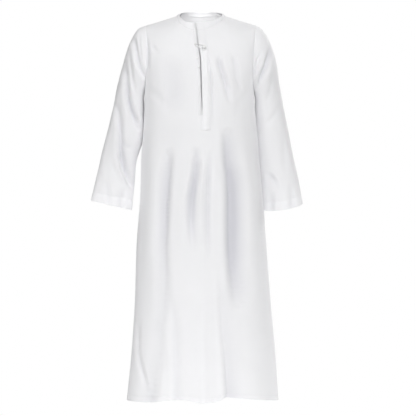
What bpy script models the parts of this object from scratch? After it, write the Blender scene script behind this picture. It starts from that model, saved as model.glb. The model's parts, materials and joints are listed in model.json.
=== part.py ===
"""A collarless ankle-length cotton robe, filled out as if worn, each cut piece a thin closed wall.

The frame is in metres, +Z up. The wearer faces -Y, so the wearer's right is at -X. The origin lies
between the shoulders at the height of the neck's sides. One smooth outer surface is worked out from
the sizes below, its folds are pressed in, and then each cut piece is thickened inward from it.
"""

import math
from collections import Counter, defaultdict, namedtuple

import bpy
import numpy as np
from mathutils import Matrix, Vector
from mathutils.bvhtree import BVHTree

MM = 0.001

# Cloth
WALL = 1.3 * MM
HEM_WALL = 2.6 * MM
SEAM_GAP = 0.36 * MM
LAY_GAP = 0.35 * MM
STRIP_WALL = 1.2 * MM
LEAST_MITRE = 0.75

# Body heights
HEM_Z = -1.400
HEM_BAND = 0.018
STRIP_END_Z = -0.420
SLIT_END_Z = -0.375
CHEST_Z = -0.330
ARMPIT_Z = -0.288
SHOULDER_TIP = (0.200, 0.005, -0.038)

# Grid steps
SKIRT_STEPS = 21
UPPER_STEPS = 10
SHOULDER_STEPS = 8
BACK_NECK_STEPS = 12
SLEEVE_STEPS = 20

# Angles round the body, from the middle of a face, in degrees
SIDE_ANGLE = 90.0
NECK_ANGLE = 40.0
STRIP_ANGLE = 9.2
UNDER_STRIP_ANGLE = 3.5
STRIP_COLUMNS = 3
ANGLE_SLACK = 1.0001

# The body's outline from the front and the side: height, then how far it reaches each way
Section = namedtuple("Section", "z right left front back")
SECTIONS = [
    Section(-1.400, 0.270, 0.281, 0.200, 0.188),
    Section(-1.220, 0.252, 0.269, 0.187, 0.172),
    Section(-1.037, 0.240, 0.254, 0.174, 0.158),
    Section(-0.820, 0.233, 0.237, 0.161, 0.146),
    Section(-0.673, 0.222, 0.226, 0.153, 0.138),
    Section(-0.513, 0.218, 0.211, 0.146, 0.128),
    Section(-0.382, 0.2075, 0.200, 0.142, 0.126),
    Section(-0.288, 0.206, 0.192, 0.138, 0.130),
]

# How deep the middle of the front and back is, from the armpits, 0, up to the neck seam, 1
Rise = namedtuple("Rise", "share front back")
RISES = [
    Rise(0.00, 0.138, 0.130),
    Rise(0.25, 0.137, 0.133),
    Rise(0.55, 0.126, 0.128),
    Rise(0.80, 0.106, 0.108),
    Rise(1.00, 0.083, 0.075),
]

# The neck seam and the neck edge: an oval that dips at the front and climbs at the back
NeckRing = namedtuple("NeckRing", "half_width mid_y half_depth z_mean z_tilt z_dip")
NECK_SEAM = NeckRing(0.088, -0.003, 0.078, -0.017, -0.031, -0.014)
NECK_EDGE = NeckRing(0.078, -0.003, 0.068, -0.0045, -0.025, -0.0045)
BAND_STEPS = 2

# The slit's line at the front, its mouth's width, both in mm by height
Slit = namedtuple("Slit", "z x mouth")
SLIT_LINE = [
    Slit(-1400, 0.0, 0.0),
    Slit(-800, 0.0, 0.0),
    Slit(-420, 5.5, 0.0),
    Slit(-375, 9.5, 1.2),
    Slit(-330, 10.5, 4.0),
    Slit(-295, 9.5, 4.8),
    Slit(-233, 6.5, 5.0),
    Slit(-150, -1.5, 5.4),
    Slit(-120, -8.0, 6.0),
    Slit(-60, -15.0, 6.5),
    Slit(-30, -19.0, 7.5),
]
STRIP_OVERHANG = 0.5

# Sleeve stations from the armhole, 0, to the cuff's edge, 9, all in mm.
# Outer and inner are the sleeve's two sides from the front, mid_y and drop place its ring in depth.
Station = namedtuple("Station", "outer_x outer_z inner_x inner_z half_depth mid_y drop")
RIGHT_SLEEVE = [
    Station(200, -38, 206, -288, 72, 5, 0),
    Station(232, -55, 207.5, -294, 74, 6, 0),
    Station(262, -108, 208.5, -303, 73, 11, 0),
    Station(284, -178, 207.5, -319, 68, 18, 0),
    Station(306, -262, 206, -354, 62, 24, 0),
    Station(322, -338, 206.5, -400, 57, 28, 0),
    Station(341, -420, 212, -458, 53, 30, 0),
    Station(363, -512, 234, -530, 47, 29, 0),
    Station(384, -602, 243, -624, 42, 25, 0),
    Station(401, -675, 251, -710, 37, 20, 0),
]
LEFT_SLEEVE = [
    Station(200, -38, 192, -288, 72, 5, 0),
    Station(226, -57, 195, -294, 74, 6, 0),
    Station(254, -105, 197, -304, 73, 10, 1),
    Station(275, -175, 196.5, -321, 68, 18, 2),
    Station(288, -262, 195.5, -357, 62, 27, 4),
    Station(304, -350, 199, -410, 57, 32, 6),
    Station(321, -435, 203, -478, 53, 36, 8),
    Station(339, -520, 208, -548, 47, 38, 10),
    Station(358, -605, 217, -632, 42, 38, 12),
    Station(373, -684, 223.5, -706, 37, 38, 14),
]
CUFF_BAND_START = 8.55
CUFF_BAND_STEP = 8.60
ARMHOLE_DIP = {-1: 7 * MM, 1: 5 * MM}
ARMHOLE_DIP_STATIONS = 3

# Side-seam pocket mouths
POCKET_TOP_Z = -0.650
POCKET_LOW_Z = -0.830
POCKET_MOUTH = 3.0 * MM
SIDE_FACING = 0.3

# The hem's lift along the front, in mm
Lift = namedtuple("Lift", "x lift")
HEM_LIFTS = [
    Lift(-270, 1),
    Lift(-170, 5),
    Lift(-116, 13),
    Lift(-60, 15),
    Lift(0, 5),
    Lift(30, 6),
    Lift(70, 14),
    Lift(90, 24),
    Lift(120, 22),
    Lift(200, 12),
    Lift(281, 2),
]
HEM_LIFT_REACH = 0.20
HEM_LIFT_DEPTH = 0.05

# Folds: lines seen from the front or the back, in mm. Depth is inward, and a negative one is a ridge.
BODY, RIGHT, LEFT = "body", "sleeve_right", "sleeve_left"
FRONT, BACK = -1, 1
Fold = namedtuple("Fold", "name zone face skew path")
Crease = namedtuple("Crease", "x z depth width")


def fold(name, zone, face, skew, *rows):
    return Fold(name, zone, face, skew, [Crease(*row) for row in rows])


FOLDS = [
    fold("hip_right", BODY, FRONT, 0.35,
         (-100, -480, 0, 13), (-112, -586, 10, 14), (-116, -673, 13, 15), (-119, -770, 13, 16),
         (-118, -860, 10, 17), (-116, -980, 8, 18), (-120, -1060, 8, 20), (-136, -1120, 9, 20),
         (-138, -1200, 9, 20), (-152, -1290, 9, 22), (-170, -1410, 11, 24)),
    fold("belly", BODY, FRONT, 0.0,
         (-16, -480, 0, 13), (-16, -542, 7, 12), (-19, -586, 9, 12), (-27, -630, 11, 12),
         (-33, -673, 11, 12), (-34, -720, 10, 12), (-34, -761, 7, 12), (-31, -805, 4, 12),
         (-24, -860, 0, 12)),
    fold("belly_ridge", BODY, FRONT, 0.0,
         (10, -500, 0, 11), (5, -560, -4, 11), (-8, -650, -4, 11), (-15, -735, 0, 11)),
    fold("hip_left", BODY, FRONT, 0.35,
         (94, -420, 0, 18), (99, -500, 10, 20), (104, -542, 13, 22), (111, -586, 16, 23),
         (115, -650, 18, 25), (116, -750, 19, 26), (116, -860, 18, 27), (120, -935, 15, 28),
         (126, -1000, 10, 28), (132, -1120, 0, 30)),
    fold("skirt_edge", BODY, FRONT, 0.6,
         (64, -880, 0, 24), (70, -985, 2, 26), (78, -1128, 4, 28), (90, -1263, 6, 30),
         (96, -1410, 10, 32)),
    fold("chest_left", BODY, FRONT, 0.0,
         (63, -148, 0, 10), (67, -171, 5, 10), (71, -193, 8, 10), (78, -215, 8, 10),
         (85, -237, 8, 10), (92, -258, 7.5, 10), (96, -280, 6, 10), (100, -302, 3, 10),
         (103, -332, 0, 10)),
    fold("chest_right", BODY, FRONT, 0.0,
         (-105, -150, 0, 34), (-98, -220, 4, 36), (-95, -300, 4, 38), (-85, -380, 0, 36)),
    fold("back_right", BODY, BACK, 0.0,
         (-90, -230, 0, 18), (-96, -400, 7, 20), (-100, -600, 11, 22), (-105, -800, 13, 24),
         (-112, -1000, 10, 26), (-118, -1200, 9, 28), (-125, -1410, 13, 30)),
    fold("back_middle", BODY, BACK, 0.0,
         (-12, -560, 0, 18), (-8, -700, 7, 20), (0, -850, 9, 22), (4, -1000, 6, 24),
         (2, -1150, 0, 24)),
    fold("back_left", BODY, BACK, 0.0,
         (84, -250, 0, 18), (90, -420, 8, 20), (98, -640, 12, 22), (104, -820, 12, 24),
         (100, -1000, 10, 26), (92, -1200, 10, 28), (88, -1410, 14, 30)),
    fold("back_hem", BODY, BACK, 0.0,
         (-20, -1080, 0, 24), (-28, -1220, 6, 26), (-34, -1410, 11, 28)),
    fold("right_cap", RIGHT, FRONT, 0.0,
         (-243, -80, 0, 8), (-240, -106, 5, 8), (-237, -127, 7, 8), (-233, -149, 7, 8),
         (-228, -171, 7, 8), (-220, -193, 7, 8), (-209, -215, 6, 8), (-203, -238, 0, 8)),
    fold("right_elbow", RIGHT, FRONT, 0.0,
         (-275, -160, 0, 9), (-272, -230, 7, 9), (-267, -290, 10, 9), (-258, -330, 12, 9),
         (-243, -368, 11, 9), (-228, -400, 7, 9), (-222, -425, 0, 9)),
    fold("right_crescent", RIGHT, FRONT, 0.2,
         (-308, -315, 0, 11), (-302, -365, 7, 11), (-296, -420, 10, 11), (-293, -484, 12, 11),
         (-288, -520, 13, 11), (-274, -571, 11, 10), (-254, -608, 5, 10), (-243, -630, 0, 10)),
    fold("right_back", RIGHT, BACK, 0.0,
         (-262, -180, 0, 12), (-268, -300, 6, 12), (-280, -420, 8, 12), (-275, -520, 7, 12),
         (-262, -600, 0, 12)),
    fold("left_cap", LEFT, FRONT, 0.0,
         (258, -85, 0, 9), (254, -127, 7, 9), (250, -149, 9, 9), (243, -171, 10, 9),
         (236, -193, 10, 9), (225, -215, 10, 9), (213, -240, 8, 9), (200, -280, 0, 9)),
    fold("left_wrist", LEFT, FRONT, 0.0,
         (240, -575, 0, 9), (256, -592, 5, 10), (272, -612, 4, 10), (280, -640, 0, 10)),
    fold("left_back", LEFT, BACK, 0.0,
         (258, -170, 0, 12), (262, -290, 6, 12), (262, -400, 8, 12), (262, -500, 7, 12),
         (285, -590, 0, 12)),
]
FOLD_SAMPLES = 60
FOLD_SHOULDER = 0.42
FACING_FULL = 0.35

# Knot buttons on the slit: place from the front in mm, across and through the knot
Knot = namedtuple("Knot", "name x z across depth")
KNOTS = [
    Knot("knot_button_top", 11.0, -127, 9.0, 7.0),
    Knot("knot_button_middle", -12.0, -167, 6.0, 5.0),
    Knot("knot_button_low", -7.2, -199, 6.0, 5.0),
]
KNOT_SIDES = 16
KNOT_RINGS = 10
KNOT_RIDGES = 3
KNOT_RIDGE_HEIGHT = 0.06
KNOT_TWIST = 9

# The cord loop: a long ring from the slit's right side to round the top knot, in mm
LOOP_CORD = 2.0
LOOP_START = (-20.5, -114.0)
LOOP_HALF_WIDTH = 6.3
LOOP_START_HALF_WIDTH = 2.2
LOOP_ARC_POINTS = 11
LOOP_SIDE_POINTS = 7

Look = namedtuple("Look", "colour roughness")
SHARP_ANGLE = 50.0
CLOTH = Look((0.86, 0.87, 0.88, 1.0), 0.8)
BAND_CLOTH = Look((0.84, 0.85, 0.86, 1.0), 0.75)
CORD = Look((0.88, 0.88, 0.88, 1.0), 0.6)


# Curves and rings

def curve(knots, values, at):
    """A smooth curve through the values at the knots, held level past both ends."""
    knots = np.asarray(knots, float)
    values = np.asarray(values, float)
    order = np.argsort(knots)
    knots, values = knots[order], values[order]
    slopes = np.gradient(values, knots)
    at = np.clip(np.asarray(at, float), knots[0], knots[-1])
    cell = np.clip(np.searchsorted(knots, at, side="right") - 1, 0, len(knots) - 2)
    span = knots[cell + 1] - knots[cell]
    t = (at - knots[cell]) / span
    rising = t * t * (3 - 2 * t)
    start = values[cell] * (1 - rising) + values[cell + 1] * rising
    bend = slopes[cell] * (t ** 3 - 2 * t ** 2 + t) + slopes[cell + 1] * (t ** 3 - t ** 2)
    return start + span * bend


def column(rows, name):
    return [getattr(row, name) for row in rows]


def read(rows, key, name, at):
    """One column of a table as a smooth curve of another."""
    return curve(column(rows, key), column(rows, name), at)


def neck_ring(psi, share):
    """Points on the neckband, from its seam, share 0, to the neck's edge, 1. psi 0 is the front."""
    rings = []
    for ring in (NECK_SEAM, NECK_EDGE):
        x = ring.half_width * np.sin(psi)
        y = ring.mid_y - ring.half_depth * np.cos(psi)
        z = ring.z_mean + ring.z_tilt * np.cos(psi) + ring.z_dip * np.cos(2 * psi)
        rings.append(np.stack([x, y, z], -1))
    return rings[0] * (1 - share) + rings[1] * share


def sleeve_ring(side, station, phi):
    """A ring of the sleeve. phi 0 is its outer side, a quarter turn is its front."""
    table = LEFT_SLEEVE if side > 0 else RIGHT_SLEEVE
    steps = np.arange(len(table))
    value = {name: curve(steps, column(table, name), station) * MM for name in Station._fields}
    mid_x = (value["outer_x"] + value["inner_x"]) / 2
    mid_z = (value["outer_z"] + value["inner_z"]) / 2
    dip = ARMHOLE_DIP[side] * max(0.0, 1 - station / ARMHOLE_DIP_STATIONS)
    x = mid_x + (value["outer_x"] - mid_x) * np.cos(phi) - dip * np.sin(phi) ** 2
    y = value["mid_y"] - value["half_depth"] * np.sin(phi)
    z = mid_z + (value["outer_z"] - mid_z) * np.cos(phi) - value["drop"] * np.sin(phi)
    return np.stack([side * x, y, z], -1)


# Grids of the outer surface

def spread(*stops):
    """Angles in radians: pairs of an angle in degrees and the steps that lead up to it."""
    angles = [stops[0][0]]
    for angle, steps in stops[1:]:
        angles += list(np.linspace(angles[-1], angle, steps + 1)[1:])
    return np.radians(angles)


def front_angles():
    return spread(
        (-SIDE_ANGLE, 0), (-NECK_ANGLE, SHOULDER_STEPS), (-UNDER_STRIP_ANGLE, 9), (0.0, 1),
        (STRIP_ANGLE, STRIP_COLUMNS), (NECK_ANGLE, 7), (SIDE_ANGLE, SHOULDER_STEPS),
    )


def back_angles():
    return spread(
        (-SIDE_ANGLE, 0), (-NECK_ANGLE, SHOULDER_STEPS), (NECK_ANGLE, BACK_NECK_STEPS),
        (SIDE_ANGLE, SHOULDER_STEPS),
    )


def lower_heights():
    skirt = np.linspace(HEM_Z + HEM_BAND + 3 * MM, STRIP_END_Z, SKIRT_STEPS + 1)
    return np.array([HEM_Z, HEM_Z + HEM_BAND, *skirt, SLIT_END_Z, CHEST_Z, ARMPIT_Z])


def slit_shift(z, theta):
    """How far the columns near the middle follow the slit's line."""
    near = np.clip(1 - (theta / math.radians(NECK_ANGLE)) ** 2, 0, 1) ** 2
    return read(SLIT_LINE, "z", "x", z / MM) * MM * near


def lower_rows(face, theta):
    """The body below the armpits: ovals, one for each height."""
    rows = []
    for z in lower_heights():
        right = read(SECTIONS, "z", "right", z)
        left = read(SECTIONS, "z", "left", z)
        depth = read(SECTIONS, "z", "front" if face == FRONT else "back", z)
        x = (left - right) / 2 + (left + right) / 2 * np.sin(theta)
        y = face * depth * np.cos(theta)
        height = np.full_like(theta, z)
        if face == FRONT:
            x = x + slit_shift(height, theta)
        rows.append(np.stack([x, y, height], -1))
    return rows


def top_row(face, theta):
    """The shoulder seams and, between them, the neck seam."""
    neck = math.radians(NECK_ANGLE)
    side = math.radians(SIDE_ANGLE)
    psi = np.clip(theta / neck, -1, 1) * math.pi / 2
    points = neck_ring(psi if face == FRONT else math.pi - psi, 0.0)
    tip = np.array(SHOULDER_TIP)
    for i, angle in enumerate(theta):
        if abs(angle) > neck:
            start = neck_ring(np.array(math.pi / 2), 0.0)
            share = (abs(angle) - neck) / (side - neck)
            points[i] = start + (tip - start) * share
            points[i][0] *= math.copysign(1, angle)
    return points


def upper_rows(face, theta):
    """The body between the armholes, from the armpits up to the shoulder and neck seams."""
    top = top_row(face, theta)
    middle = np.abs(theta).argmin()
    outward = np.abs(theta / math.radians(SIDE_ANGLE)) ** 3
    half = SHOULDER_TIP[0]
    rows = []
    for share in np.linspace(0, 1, UPPER_STEPS + 1)[1:]:
        phi = math.pi * (1 - share)
        edge = {side: sleeve_ring(side, 0.0, np.array(-face * phi)) for side in (-1, 1)}
        edge_x = {side: edge[side][0] for side in edge}
        edge_y = np.where(theta < 0, edge[-1][1], edge[1][1])
        edge_z = np.where(theta < 0, edge[-1][2], edge[1][2])
        blend = share ** 3
        across = (1 - blend) * np.sin(theta) + blend * top[:, 0] / half
        x = (edge_x[1] + edge_x[-1]) / 2 + (edge_x[1] - edge_x[-1]) / 2 * across
        depth = face * read(RISES, "share", "front" if face == FRONT else "back", share)
        tip_y = SHOULDER_TIP[1]
        top_bulge = (top[:, 1] - tip_y) / (top[middle, 1] - tip_y)
        bulge = (1 - blend) * np.cos(theta) + blend * top_bulge
        y = edge_y + (depth - edge_y) * bulge
        straight = ARMPIT_Z + share * (top[:, 2] - ARMPIT_Z)
        straight_edge = ARMPIT_Z + share * (SHOULDER_TIP[2] - ARMPIT_Z)
        z = straight + outward * (edge_z - straight_edge)
        if face == FRONT:
            x = x + slit_shift(z, theta)
        rows.append(np.stack([x, y, z], -1))
    return rows


def sleeve_grid(side):
    stations = [*np.linspace(0, CUFF_BAND_START, SLEEVE_STEPS + 1), CUFF_BAND_STEP, 9.0]
    phi = np.linspace(0, 2 * math.pi, 2 * UPPER_STEPS, endpoint=False)
    return np.array([sleeve_ring(side, station, phi) for station in stations])


def neckband_grid(front_theta, back_theta):
    """Rows from the neck seam to the neck edge, round from the slit's left side to its right."""
    neck = math.radians(NECK_ANGLE) * ANGLE_SLACK
    to_psi = math.pi / 2 / math.radians(NECK_ANGLE)
    ahead = front_theta[(front_theta >= 0) & (front_theta < neck)]
    behind = back_theta[np.abs(back_theta) < neck][::-1][1:-1]
    last = front_theta[(front_theta <= 0) & (front_theta > -neck)]
    psi = np.concatenate([ahead * to_psi, math.pi - behind * to_psi, last * to_psi])
    theta = np.concatenate([ahead, np.full(len(behind), math.pi), last])
    rows = []
    for share in np.linspace(0, 1, BAND_STEPS + 1):
        points = neck_ring(psi, share)
        points[:, 0] += slit_shift(points[:, 2], theta)
        rows.append(points)
    return np.array(rows)


def outer_grids():
    """The five grids, with the points that two of them share made equal."""
    front_theta, back_theta = front_angles(), back_angles()
    front = np.array(lower_rows(FRONT, front_theta) + upper_rows(FRONT, front_theta))
    back = np.array(lower_rows(BACK, back_theta) + upper_rows(BACK, back_theta))
    armpit = len(lower_heights()) - 1
    shoulder = SHOULDER_STEPS + 1
    grids = {"front_panel": front, "back_panel": back}
    for side, edge, name in ((-1, 0, RIGHT), (1, -1, LEFT)):
        sleeve = sleeve_grid(side)
        back[: armpit + 1, edge] = front[: armpit + 1, edge]
        half = UPPER_STEPS
        sleeve[0, : half + 1] = front[armpit:, edge][::-1]
        sleeve[0, half + 1:] = back[armpit + 1: -1, edge]
        grids[name] = sleeve
    back[-1, :shoulder] = front[-1, :shoulder]
    back[-1, -shoulder:] = front[-1, -shoulder:]
    band = neckband_grid(front_theta, back_theta)
    slit = int(np.abs(front_theta).argmin())
    ahead = front[-1, slit: len(front_theta) - SHOULDER_STEPS]
    behind = back[-1, shoulder: -shoulder][::-1]
    last = front[-1, SHOULDER_STEPS: slit + 1]
    band[0] = np.concatenate([ahead, behind, last])
    grids["neckband"] = band
    return grids, slit


# Folds

def grid_cells(ids, closed=False):
    """The quads of a grid of point numbers; a closed grid joins its last column to its first."""
    following = np.roll(ids, -1, axis=1) if closed else ids[:, 1:]
    first = ids if closed else ids[:, :-1]
    corners = (first[:-1], following[:-1], following[1:], first[1:])
    return np.stack(corners, -1).reshape(-1, 4)


def face_vectors(points, quads):
    """Each quad's normal, as long as twice its area."""
    across = points[quads[:, 2]] - points[quads[:, 0]]
    along = points[quads[:, 3]] - points[quads[:, 1]]
    return np.cross(across, along)


def point_normals(points, quads):
    total = np.zeros_like(points)
    vectors = face_vectors(points, quads)
    for corner in range(4):
        np.add.at(total, quads[:, corner], vectors)
    return total / np.maximum(np.linalg.norm(total, axis=1, keepdims=True), 1e-12)


def fold_press(points, normals, crease):
    """How far each point goes in at one fold."""
    steps = np.arange(len(crease.path))
    at = np.linspace(0, len(steps) - 1, FOLD_SAMPLES)
    line = np.stack([curve(steps, column(crease.path, name), at) for name in ("x", "z")], -1) * MM
    depth = curve(steps, column(crease.path, "depth"), at) * MM
    width = curve(steps, column(crease.path, "width"), at) * MM
    flat = points[:, [0, 2]]
    away = flat[:, None, :] - line[None, :, :]
    distance = np.linalg.norm(away, axis=2)
    nearest = distance.argmin(axis=1)
    rows = np.arange(len(points))
    direction = np.gradient(line, axis=0)[nearest]
    offset = away[rows, nearest]
    to_left = direction[:, 0] * offset[:, 1] - direction[:, 1] * offset[:, 0] > 0
    wide = width[nearest] * np.where(to_left, 1 + crease.skew, 1 - crease.skew)
    u = distance[rows, nearest] / wide
    profile = (1 - FOLD_SHOULDER * u ** 2) * np.exp(-u ** 2 / 2)
    facing = np.clip(crease.face * normals[:, 1] / FACING_FULL, 0, 1)
    return depth[nearest] * profile * facing


def hem_lift(points):
    low = np.clip(1 - (points[:, 2] - HEM_Z) / HEM_LIFT_REACH, 0, 1) ** 2
    ahead = np.clip(-points[:, 1] / HEM_LIFT_DEPTH, 0, 1)
    return read(HEM_LIFTS, "x", "lift", points[:, 0] / MM) * MM * low * ahead


class Robe:
    """The outer surface as one set of points, and which of them each cut piece uses."""

    def __init__(self):
        grids, self.slit = outer_grids()
        flat = np.concatenate([grid.reshape(-1, 3) for grid in grids.values()])
        self.points, numbers = np.unique(flat.round(9), axis=0, return_inverse=True)
        numbers = numbers.reshape(-1)
        self.ids, self.quads, start = {}, {}, 0
        for name, grid in grids.items():
            count = grid.shape[0] * grid.shape[1]
            ids = numbers[start: start + count].reshape(grid.shape[:2])
            cells = grid_cells(ids, closed=name in (RIGHT, LEFT))
            if name in ("back_panel", RIGHT):
                cells = cells[:, ::-1]
            self.ids[name], self.quads[name] = ids, cells
            start += count
        self.press_folds()
        self.normals, self.mitres = self.seam_normals()

    def seam_normals(self):
        """The points' normals, and how much longer than the cloth's thickness the step inward is.

        At a seam a normal halves the angle between the pieces, so the step there is slanting."""
        each = [point_normals(self.points, quads) for quads in self.quads.values()]
        pieces = sum(np.linalg.norm(own, axis=1) for own in each)
        total = sum(each)
        length = np.linalg.norm(total, axis=1)
        return total / length[:, None], 1 / np.clip(length / pieces, LEAST_MITRE, 1.0)

    def press_folds(self):
        normals, _ = self.seam_normals()
        zones = {
            BODY: np.concatenate([self.ids["front_panel"].ravel(), self.ids["back_panel"].ravel()]),
            RIGHT: self.ids[RIGHT].ravel(),
            LEFT: self.ids[LEFT].ravel(),
        }
        press = np.zeros(len(self.points))
        for crease in FOLDS:
            chosen = np.unique(zones[crease.zone])
            press[chosen] += fold_press(self.points[chosen], normals[chosen], crease)
        lift = hem_lift(self.points)
        self.points = self.points - normals * press[:, None]
        self.points[:, 2] += lift


# Solids

def principled(name, look):
    material = bpy.data.materials.new(name)
    material.use_nodes = True
    shader = material.node_tree.nodes["Principled BSDF"]
    shader.inputs["Base Color"].default_value = look.colour
    shader.inputs["Roughness"].default_value = look.roughness
    shader.inputs["Metallic"].default_value = 0.0
    return material


def new_object(name, points, faces, look):
    mesh = bpy.data.meshes.new(name)
    mesh.from_pydata([tuple(p) for p in points], [], [tuple(int(i) for i in f) for f in faces])
    mesh.shade_smooth()
    mesh.set_sharp_from_angle(angle=math.radians(SHARP_ANGLE))
    mesh.materials.append(principled(name, look))
    item = bpy.data.objects.new(name, mesh)
    bpy.context.scene.collection.objects.link(item)
    return item


def open_edges(quads):
    """The edges that only one quad uses, each in that quad's direction."""
    edges = [(int(q[i]), int(q[(i + 1) % 4])) for q in quads for i in range(4)]
    uses = Counter(frozenset(edge) for edge in edges)
    return [edge for edge in edges if uses[frozenset(edge)] == 1]


def halves(quads):
    """Two triangles for each quad, cut along the same corner pair."""
    return [t for a, b, c, d in quads for t in ((a, b, c), (a, c, d))]


def rim(a, b, count, order):
    """The wall's edge between the layers. Both sides of a seam are cut from the same corner."""
    if order[a] < order[b]:
        return [(b, a, a + count), (b, a + count, b + count)]
    return [(b, a, b + count), (a, a + count, b + count)]


def solid(name, outer, inner, quads, order, look):
    """A closed wall between two layers of the same quads."""
    count = len(outer)
    faces = halves(quads)
    faces += [(c + count, b + count, a + count) for a, b, c in halves(quads)]
    for a, b in open_edges(quads):
        faces += rim(a, b, count, order)
    return new_object(name, np.concatenate([outer, inner]), faces, look)


def pull_in(points, normals, quads, amounts):
    """Moves each point on an open edge level with the seam, towards the piece's own cloth."""
    centres = points[quads].mean(axis=1)
    near = defaultdict(list)
    for number, quad in enumerate(quads):
        for corner in quad:
            near[int(corner)].append(number)
    moved = points.copy()
    for corner in {point for edge in open_edges(quads) for point in edge}:
        inward = centres[near[corner]].mean(axis=0) - points[corner]
        inward -= normals[corner] * (inward @ normals[corner])
        moved[corner] += inward / np.linalg.norm(inward) * amounts[corner]
    return moved


def cut_piece(robe, name, look, ids, quads, shift=None, pull=None, thick=None):
    """A cut piece: its outer points pulled back from the seams, and its inner ones a wall inside."""
    normals = robe.normals[ids]
    depth = np.full(len(ids), WALL) if thick is None else thick
    amounts = np.full(len(ids), SEAM_GAP / 2) if pull is None else pull
    outer = robe.points[ids] if shift is None else robe.points[ids] + shift
    outer = pull_in(outer, normals, quads, amounts)
    inner = outer - normals * (depth * robe.mitres[ids])[:, None]
    return solid(name, outer, inner, quads, ids, look)


def panel_amounts(robe, ids):
    """The pull at each point of a body panel, wider at the pocket mouths."""
    places = robe.points[ids]
    middle = (POCKET_TOP_Z + POCKET_LOW_Z) / 2
    reach = (POCKET_TOP_Z - POCKET_LOW_Z) / 2
    along = np.clip(1 - ((places[:, 2] - middle) / reach) ** 2, 0, 1)
    at_side = np.abs(robe.normals[ids][:, 1]) < SIDE_FACING
    return SEAM_GAP / 2 + POCKET_MOUTH / 2 * along * at_side


def panel_walls(ids):
    """The thickness of a body panel, whose turned hem is thicker."""
    walls = np.full(ids.shape, WALL)
    walls[:2] = HEM_WALL
    return walls.ravel()


def slit_rows(robe):
    """The row where the slit ends, and half its mouth's width at each row above."""
    front = robe.ids["front_panel"]
    heights = robe.points[front[:, robe.slit]][:, 2]
    end = int(np.abs(lower_heights() - SLIT_END_Z).argmin())
    mouths = read(SLIT_LINE, "z", "mouth", heights / MM) * MM / 2
    return end, mouths


def front_panel(robe):
    grid = robe.ids["front_panel"]
    rows, columns = grid.shape
    end, mouths = slit_rows(robe)
    local = np.arange(rows * columns).reshape(rows, columns)
    extra = rows * columns + np.arange(rows - end - 1)
    ids = np.concatenate([grid.ravel(), grid[end + 1:, robe.slit]])
    right_of = local.copy()
    right_of[end + 1:, robe.slit] = extra
    quads = np.concatenate([
        grid_cells(local[:, : robe.slit + 1]), grid_cells(right_of[:, robe.slit:]),
    ])
    shift = np.zeros((len(ids), 3))
    shift[local[end + 1:, robe.slit], 0] = -mouths[end + 1:]
    shift[extra, 0] = mouths[end + 1:]
    walls = np.concatenate([panel_walls(grid), np.full(len(extra), WALL)])
    return cut_piece(robe, "front_panel", CLOTH, ids, quads, shift, panel_amounts(robe, ids), walls)


def back_panel(robe):
    grid = robe.ids["back_panel"]
    local = np.arange(grid.size).reshape(grid.shape)
    quads = grid_cells(local)[:, ::-1]
    ids = grid.ravel()
    return cut_piece(robe, "back_panel", CLOTH, ids, quads,
                     pull=panel_amounts(robe, ids), thick=panel_walls(grid))


def sleeve(robe, name):
    grid = robe.ids[name]
    local = np.arange(grid.size).reshape(grid.shape)
    quads = grid_cells(local, closed=True)
    if name == RIGHT:
        quads = quads[:, ::-1]
    walls = np.full(grid.shape, WALL)
    walls[-2:] = HEM_WALL
    return cut_piece(robe, name, CLOTH, grid.ravel(), quads, thick=walls.ravel())


def neckband(robe):
    grid = robe.ids["neckband"]
    local = np.arange(grid.size).reshape(grid.shape)
    mouth = slit_rows(robe)[1][-1]
    shift = np.zeros((*grid.shape, 3))
    shift[:, 0, 0] = mouth
    shift[:, -1, 0] = -mouth
    return cut_piece(robe, "neckband", BAND_CLOTH, grid.ravel(), grid_cells(local),
                     shift.reshape(-1, 3))


def placket_strip(robe, name, side, look):
    """The strip on one side of the slit: the wide one with side 1, the narrow one with side -1."""
    front, band = robe.ids["front_panel"], robe.ids["neckband"]
    end, mouths = slit_rows(robe)
    if side > 0:
        bottom = int(np.abs(lower_heights() - STRIP_END_Z).argmin())
        columns = slice(robe.slit, robe.slit + STRIP_COLUMNS + 1)
        band_columns, edge = slice(0, STRIP_COLUMNS + 1), 0
    else:
        bottom = end + 1
        columns, band_columns, edge = slice(robe.slit - 1, robe.slit + 1), slice(-2, None), -1
    grid = np.concatenate([front[bottom:, columns], band[1:, band_columns]])
    half = np.concatenate([mouths[bottom:], np.full(BAND_STEPS, mouths[-1])])
    points, normals = robe.points[grid], robe.normals[grid]
    overhang = STRIP_OVERHANG if side > 0 else 0.0
    points[:, edge, 0] += side * half * (1 - 2 * overhang)
    local = np.arange(grid.size).reshape(grid.shape)
    points, normals = points.reshape(-1, 3), normals.reshape(-1, 3)
    under = points + normals * LAY_GAP
    over = under + normals * STRIP_WALL
    return solid(name, over, under, grid_cells(local), range(len(points)), look)


# Knots and loop

def surface_tree(items):
    """One search tree over the outer sides of several solids."""
    points, faces = [], []
    for item in items:
        start = len(points)
        points += [v.co.copy() for v in item.data.vertices]
        faces += [[start + i for i in p.vertices] for p in item.data.polygons]
    return BVHTree.FromPolygons(points, faces)


def seat(tree, x, z):
    """Where a line from the front meets the cloth, and the cloth's normal there."""
    place, normal, _, _ = tree.ray_cast(Vector((x, -1.0, z)), Vector((0, 1, 0)))
    return place, normal


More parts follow.
